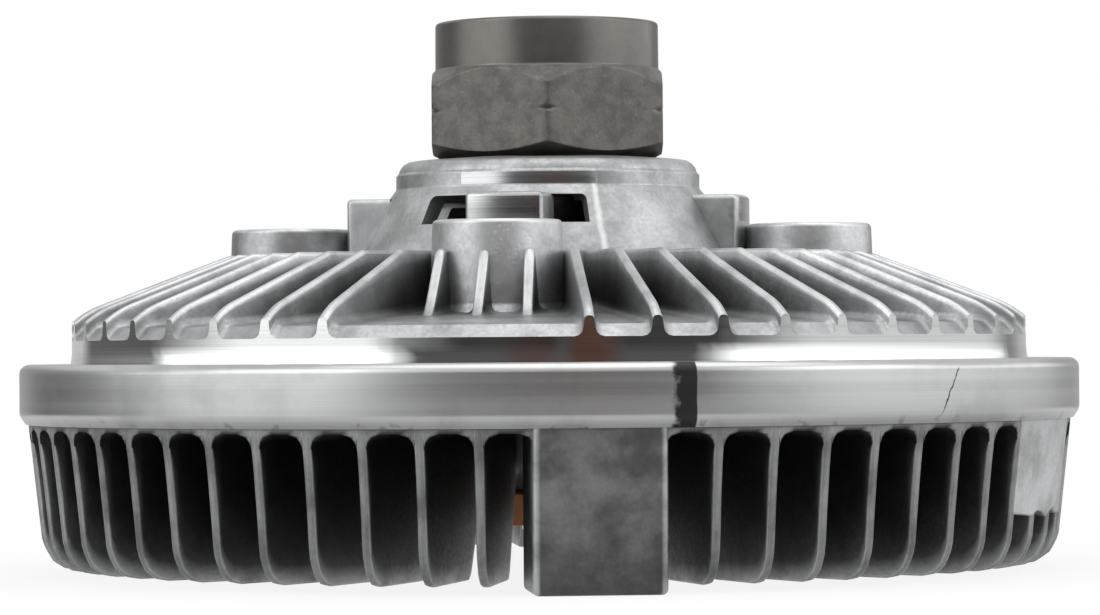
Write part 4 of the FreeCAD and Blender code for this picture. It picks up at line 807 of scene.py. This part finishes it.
def cast_metal(name, dark, light, ridge, valley, roughness, metallic=0.85, patch=8.0, wear_and_highlight_band=None):
    """Cast aluminium: patches between two greys, ridges brightened by wear and a painted highlight, and
    painted shade in the hollows. With a band given, only the ridge mask's band between its two limits
    is brightened, by wear and a painted highlight."""
    dark, light, ridge, valley = [grey(tone, -0.012) for tone in (dark, light, ridge, valley)]
    material, shader, place = new_material(name, Metallic=metallic)
    patches, grain, height = use(cast_skin, place, patch, 0.6, 0.8)
    colour = mix(smooth(patches, 0.34, 0.68), dark, light)
    speck = smooth(grain, 0.30, 0.72)
    colour = mix(0.06, colour, node("CombineColor", {0: speck, 1: speck, 2: speck}), "OVERLAY")
    deep, edge = mask(place.tree, "deep"), mask(place.tree, "edge")
    # Painted shade: the valley tone where the mask is high.
    colour = mix(smooth(deep, 0.05, 0.9) * 0.92, colour, valley)
    # Wear and a painted highlight: the ridge tone where the mask is high, in patches, and only within the band if
    # one is given.
    if wear_and_highlight_band:
        edge = smooth(edge, *wear_and_highlight_band, 0.0, 0.9)
    colour = mix(edge * smooth(patches, 0.30, 0.60, 0.35, 1.0), colour, ridge)
    finish_shader(shader, colour, (grain, 0.3, 0.7), roughness, height, 0.024)
    return material


def turned_metal(name, dark, light, roughness, line_width=0.12, depth=0.003):
    """Metal from the lathe: fine rings in tone, roughness and height."""
    material, shader, place = new_material(name, Metallic=1.0)
    mark, broad = use(lathe_marks, place, line_width, 6.0)
    colour = mix(smooth(mark * 0.5 + broad * 0.5, 0.35, 0.65), grey(dark, -0.006), grey(light, -0.006))
    finish_shader(shader, colour, (broad, 0.3, 0.7), roughness, mark, depth)
    return material


# After the two greys of the mottling come the ridges' tone of wear and painted highlight, then the valleys' tone of
# painted shade.
cast_light = cast_metal("Cast aluminium, light", 0.27, 0.44, 0.60, 0.035, (0.52, 0.36))
cover_cast = cast_metal("Cast aluminium, front", 0.09, 0.17, 0.34, 0.014, (0.58, 0.38), metallic=0.8)
pad_cast = cast_metal("Cast aluminium, pads", 0.09, 0.215, 0.40, 0.03, (0.55, 0.38), metallic=0.8, patch=7.0,
                      wear_and_highlight_band=(0.88, 0.93))
mirror_turned = turned_metal("Aluminium, mirror turned", 0.68, 0.80, (0.03, 0.08), depth=0.0006)
satin_turned = turned_metal("Aluminium, satin turned", 0.43, 0.48, (0.31, 0.36), line_width=0.14, depth=0.002)
skimmed = turned_metal("Aluminium, skimmed", 0.40, 0.55, (0.16, 0.26), depth=0.001)
print("Cast and turned metals ready")

# %% [markdown]
# The outer ring has a dab of dark ink at the front, one thin dirty scratch, and nicks at its lower
# edge. Towards the bottom it is darkened by painted shade. They are masks over angle and height, made
# uneven by noise. On the tower, one soft bright line right of the front window is a painted
# highlight, standing in for the lit edge of a cast step.

# %% The ring's satin surface with its marks and painted shade, and the tower's skin with a painted highlight
DAB_LEFT, DAB_RIGHT = [np.radians(limits).tolist() for limits in ((-78.2, -77.3), (-75.65, -75.5))]
SCRATCH_ANGLE, SCRATCH_HEIGHT, SCRATCH_SLOPE = radians(-46.9), 25 * MM, 6.9
PAINTED_HIGHLIGHT_ANGLE = radians(-71.9)
INK = (0.005, 0.005, 0.005, 1.0)


def variant(material, name):
    """A copy of a material, with its shader, the object's coordinates and the wire of its colour."""
    material = material.copy()
    material.name = name
    shader = material.node_tree.nodes["Principled BSDF"]
    place = node("TexCoord", output="Object", tree=material.node_tree)
    return material, shader, place, Wire(shader.inputs["Base Color"].links[0].from_socket)


def ring_finish():
    """Satin rings, dull blotches, painted shade towards the bottom, nicks at the lower edge, a dab of
    dark ink and a wavy dark scratch.
    """
    material, shader, place, base = variant(satin_turned, "Aluminium, satin ring")
    radius, angle, z = cylinder_coordinates(place)
    waver = (noise(place, 700.0, 4.0) - 0.5) * 0.03
    dab = smooth(angle + waver * 1.2, *DAB_LEFT) * smooth(angle + waver * 0.12, *DAB_RIGHT, 1.0, 0.0)
    blotch = smooth(noise(place, 75.0, 5.0, 0.6), 0.50, 0.68)
    nick = smooth(noise(place, 330.0, 2.0), 0.60, 0.66) * smooth(z, 0.0240, 0.0250, 1.0, 0.0)
    # Dull blotches and nicks are the ring's own tone; the darkening towards the bottom is painted shade.
    dull_and_painted_shade = blotch * 0.22 + smooth(z, 0.0236, 0.0254, 1.0, 0.0) * 0.6 + nick * 0.3
    path = (z - SCRATCH_HEIGHT) * SCRATCH_SLOPE + SCRATCH_ANGLE
    scratch = smooth(maths("ABSOLUTE", angle + waver * 0.5 - path), 0.0008, 0.0026, 0.92, 0.0)
    scratch *= smooth(z, 0.0238, 0.0262) * smooth(z, 0.0310, 0.0318, 1.0, 0.0)
    marks = maths("MAXIMUM", dab * 0.93, scratch)
    rough = Wire(shader.inputs["Roughness"].links[0].from_socket)
    fill(shader, {"Base Color": mix(marks, mix(dull_and_painted_shade, base, grey(0.16)), INK), "Roughness": rough + marks * 0.15})
    return material


def tower_finish():
    """The tower's cast skin with a painted highlight: a soft bright line right of the front window,
    standing in for the lit edge of a cast step.
    """
    material, shader, place, base = variant(cast_light, "Cast aluminium, tower")
    radius, angle, z = cylinder_coordinates(place)
    off = maths("ABSOLUTE", angle + noise(place, 260.0, 4.0) * 0.04 - PAINTED_HIGHLIGHT_ANGLE)
    # Painted highlight: a soft bright upright line up to about 62 mm, mixed towards a light grey.
    line = smooth(off, 0.002, 0.030, 0.42, 0.0) * smooth(z, 0.0615, 0.0622, 1.0, 0.0)
    fill(shader, {"Base Color": mix(line, base, grey(0.85))})
    return material


ring_satin = ring_finish()
tower_cast = tower_finish()
print("Ring finish ready")

# %% [markdown]
# The shaft is forged steel with a thin dark coat; its barrel was turned first and is smoother than
# the hexagon, which keeps the forging's skin. Inner parts get plain machine finishes.

# %% Materials for steel, rubber, plastic and the coil
def dark_steel(name, dark, light, roughness, patch, grain_size, depth):
    """Coated steel: brown-grey patches with fine bright specks where the coat is thin."""
    material, shader, place = new_material(name, Metallic=0.7)
    patches, grain, height = use(cast_skin, place, patch, grain_size, 0.5)
    colour = mix(smooth(patches, 0.36, 0.64), grey(dark, 0.05), grey(light, 0.08))
    colour = mix(smooth(grain, 0.60, 0.72) * 0.25, colour, grey(light * 1.9, 0.025))
    finish_shader(shader, colour, (grain, 0.35, 0.7), roughness, height, depth)
    return material


def speckled(name, colour, roughness, metallic=0.0, spread=0.12):
    """A plain finish with a fine speckle: rubber, plastic, spring steel or plating."""
    material, shader, place = new_material(name, Metallic=metallic)
    patches, grain, height = use(cast_skin, place, 3.6, 0.6, 0.2)
    low, high = [tuple(c * (1 + way * spread) for c in colour) + (1.0,) for way in (-1, 1)]
    limits = (roughness * 0.85, roughness * 1.15)
    finish_shader(shader, mix(smooth(patches, 0.35, 0.65), low, high), (grain, 0.3, 0.7), limits, height, 0.02)
    return material


forged_steel = dark_steel("Steel, forged and coated", 0.085, 0.125, (0.52, 0.38), 3.0, 0.45, 0.045)
barrel_steel = dark_steel("Steel, turned and coated", 0.10, 0.12, (0.36, 0.28), 9.0, 0.30, 0.006)
ground_steel = turned_metal("Steel, ground", 0.50, 0.62, (0.12, 0.22), line_width=0.08)
spring_steel = speckled("Steel, black spring", (0.06, 0.06, 0.065), 0.38, metallic=0.8)
zinc_plate = speckled("Steel, zinc plated", (0.55, 0.55, 0.52), 0.34, metallic=0.9)
turned_rotor = turned_metal("Aluminium, turned plate", 0.50, 0.64, (0.22, 0.34), line_width=0.2)
bimetal = speckled("Bimetal strip, brown", (0.20, 0.085, 0.035), 0.36, metallic=0.85, spread=0.3)
black_rubber = speckled("Rubber, black", (0.018, 0.018, 0.018), 0.6)
cream_plastic = speckled("Plastic, natural", (0.66, 0.60, 0.48), 0.5)
print("Materials:", len(bpy.data.materials))

# %% Dress the pieces and tie them to the frame
for piece, materials, body, slot, replaced in (
        (tower, [tower_cast, skimmed], "casing", "housing", "housing"),
        (coil_tang, [bimetal], "valve", "coil", "bimetal_coil"),
        (coil_turns, [bimetal], "casing", "coil", "bimetal_coil"),
        (casting.build("fin_casting"), [cast_light, mirror_turned, satin_turned, skimmed], "casing", "housing",
         "housing"),
        (cover_fins.build("front_fins"), [cover_cast], "casing", "cover", "cover"),
        (cover_body.build("front_body"), [cover_cast, satin_turned, ring_satin], "casing", "cover", "cover"),
        (pads.build("front_pads"), [pad_cast, cast_light], "casing", "cover", "cover"),
        (shaft.build("hex_shaft"), [forged_steel, barrel_steel, ground_steel], "drive", "shaft", "drive_shaft")):
    for material in materials:
        piece.data.materials.append(material)
    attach(piece, body)
    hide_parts(replaced)
    print(f"{piece.name}: {len(piece.data.polygons)} faces")
coil_first.data.materials.append(bimetal)
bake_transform(coil_first)
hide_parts("bimetal_coil")

# %% The tower's machined faces: a skimmed land at the front, and the bearing's seat inside
centres = np.empty(len(tower.data.polygons) * 3)
tower.data.polygons.foreach_get("center", centres)
x, y, z = centres.reshape(-1, 3).T / MM
away, bearing = np.hypot(x, y), np.degrees(np.arctan2(y, x)) + 90
land = (away > 23.2) & (z > 59.9) & (z < 61.7) & (bearing > -34) & (bearing < 18)
seat = (away < 24.9) & (z < 51.5)
tower.data.polygons.foreach_set("material_index", (land | seat).astype(np.int32))
shade(tower.data, 35)
print(f"Machined faces on the tower: {int((land | seat).sum())}")

# %% Dress the inner parts, which keep their solids
for material, names in {
        ground_steel: "bearing_outer_race bearing_inner_race bearing_balls rotor_spacer valve_shaft",
        zinc_plate: "bearing_cage pump_plate pump_plate_screws valve_arm coil_anchor fill_plug",
        black_rubber: "bearing_seal_upper bearing_seal_lower rim_o_ring valve_shaft_o_ring",
        spring_steel: "bearing_retaining_ring rotor_circlip valve_clip",
        turned_rotor: "rotor",
        cream_plastic: "fluid_wiper"}.items():
    for name in names.split():
        for slot in frame["nodes"][name].material_slots:
            slot.link = "OBJECT"
            slot.material = material
print("All nodes dressed")

# %% [markdown]
# The studio: a pale floor, a white world, soft lamps, and a round screen that only glossy rays see.
# The screen's dark part on the camera's side gives polished rings their dark middle, and its bright
# parts are the soft boxes.

# %% Floor, world and lamps
WHITE = (1.0, 1.0, 1.0, 1.0)
FLOOR, FLOOR_HALF = -0.05 * MM, 6


def seen(tree):
    """1 for camera, glossy and transmission rays, else 0."""
    camera_ray, glossy, through = [node("LightPath", output=f"Is {kind} Ray", tree=tree)
                                   for kind in ("Camera", "Glossy", "Transmission")]
    return maths("MAXIMUM", camera_ray, maths("MAXIMUM", glossy, through))


def floor_material():
    """White for camera and glossy rays, with some shading near the part, and clear from below, so that
    the underside can be looked at."""
    material, shader, place = new_material("Studio floor", Base_Color=(0.9, 0.9, 0.9, 1.0), Roughness=0.85)
    tree = place.tree
    glow = node("Emission", {"Color": WHITE, "Strength": 1.0}, tree=tree)
    away = cylinder_coordinates(place)[0]
    pale = seen(tree) * smooth(away, 0.08, 0.30, 0.88, 1.0)
    top = node("MixShader", {0: pale, 1: Wire(shader.outputs[0]), 2: glow})
    below = node("NewGeometry", output="Backfacing", tree=tree)
    clear = node("BsdfTransparent", tree=tree)
    fill(tree.nodes["Material Output"], {"Surface": node("MixShader", {0: below, 1: top, 2: clear})})
    return material


corners = [(x * FLOOR_HALF, y * FLOOR_HALF, FLOOR) for x, y in ((-1, -1), (1, -1), (1, 1), (-1, 1))]
floor = add_object("floor", plain_mesh("floor", corners, [(0, 1, 2, 3)]))
floor.data.materials.append(floor_material())

world = scene.world = bpy.data.worlds.new("Studio")
world.use_nodes = True
fill(world.node_tree.nodes["Background"], {"Color": WHITE, "Strength": seen(world.node_tree) * 0.5 + 0.5})

for name, place, size, power in (
        ("overhead", (0.1, -0.1, 1.1), 1.1, 5.5), ("key_left", (-1.1, -0.6, 0.8), 0.9, 6.0),
        ("fill_right", (1.2, -0.4, 0.6), 0.9, 5.0)):
    data = bpy.data.lights.new(name, "AREA")
    data.size, data.energy = size, power
    lamp = add_object(name, data)
    lamp.location = place
    lamp.rotation_euler = (Vector((0, 0, 0.04)) - Vector(place)).to_track_quat("-Z", "Y").to_euler()
print("Floor, world and lamps ready")

# %% The screen that glossy rays see
SCREEN_LEVELS = [(0.3, 0.001, 0.0), (1.1, 0.001, 0.0), (1.1, 0.05, 0.0), (1.1, 0.20, 1.0), (1.1, 0.45, 1.0)]
LOW_TONES = [(-180, 0.6), (-147, 0.6), (-138, 0.14), (-104, 0.12), (-92, 0.5), (-74, 1.2), (-42, 1.2), (-33, 0.3),
             (-20, 0.05), (-6, 0.06), (0, 0.05), (6, 0.10), (12, 0.11), (18, 0.05), (40, 0.06), (51, 0.4),
             (62, 0.75), (124, 0.75), (139, 0.25), (152, 0.5), (180, 0.6)]
HIGH_TONES = [(-180, 0.6), (-138, 0.3), (-104, 0.3), (-98, 1.9), (-40, 1.9), (-30, 0.1), (34, 0.1), (46, 1.9),
              (134, 1.9), (140, 0.3), (180, 0.6)]
BROWN = [(-12, 0.0), (-6, 0.6), (0, 0.6), (3, 0.0), (6, 1.0), (12, 1.0), (18, 0.0)]


def surround():
    """A round screen with a table card. Tones are given at angles from the camera's side, right
    positive; a level is a radius, a height and the share of the high tones."""
    turns = np.arange(-180.0, 180.0, 3.0)
    low, high, brown = [np.interp(turns, *np.array(stops).T) for stops in (LOW_TONES, HIGH_TONES, BROWN)]
    points = [at(radius, np.radians(turns - 90), level) for radius, level, share in SCREEN_LEVELS]
    faces = grid_faces(len(points), len(turns), (0, 1)).tolist()
    screen = add_object("surround", plain_mesh("surround", points, faces))
    tones = [low * (1 - share) + high * share for radius, level, share in SCREEN_LEVELS]
    add_masks(screen.data, tone=tones, brown=np.tile(brown, len(points)))
    material, shader, place = new_material("Studio surround")
    tree = place.tree
    colour = mix(mask(tree, "brown"), WHITE, (1.0, 0.52, 0.42, 1.0))
    glow = node("Emission", {"Color": colour, "Strength": mask(tree, "tone")})
    fill(tree.nodes["Material Output"], {"Surface": glow})
    screen.data.materials.append(material)
    screen.visible_camera = screen.visible_diffuse = screen.visible_shadow = screen.visible_transmission = False


surround()
print("Studio ready")

# %% Camera at the photograph's angle
camera_data = bpy.data.cameras.new("camera")
camera_data.lens, camera_data.sensor_width = 146.1, 36.0
camera_data.shift_x, camera_data.clip_start = 0.0012, 0.01
camera = add_object("camera", camera_data)
camera.location = (0.0, -0.704, 0.0345)
look = (Vector((0.0, 0.0, 0.0411)) - camera.location).to_track_quat("-Z", "Y").to_matrix().to_4x4()
camera.rotation_euler = (look @ Matrix.Rotation(radians(-0.43), 4, "Z")).to_euler()
scene.camera = camera
scene.view_settings.view_transform = "Standard"
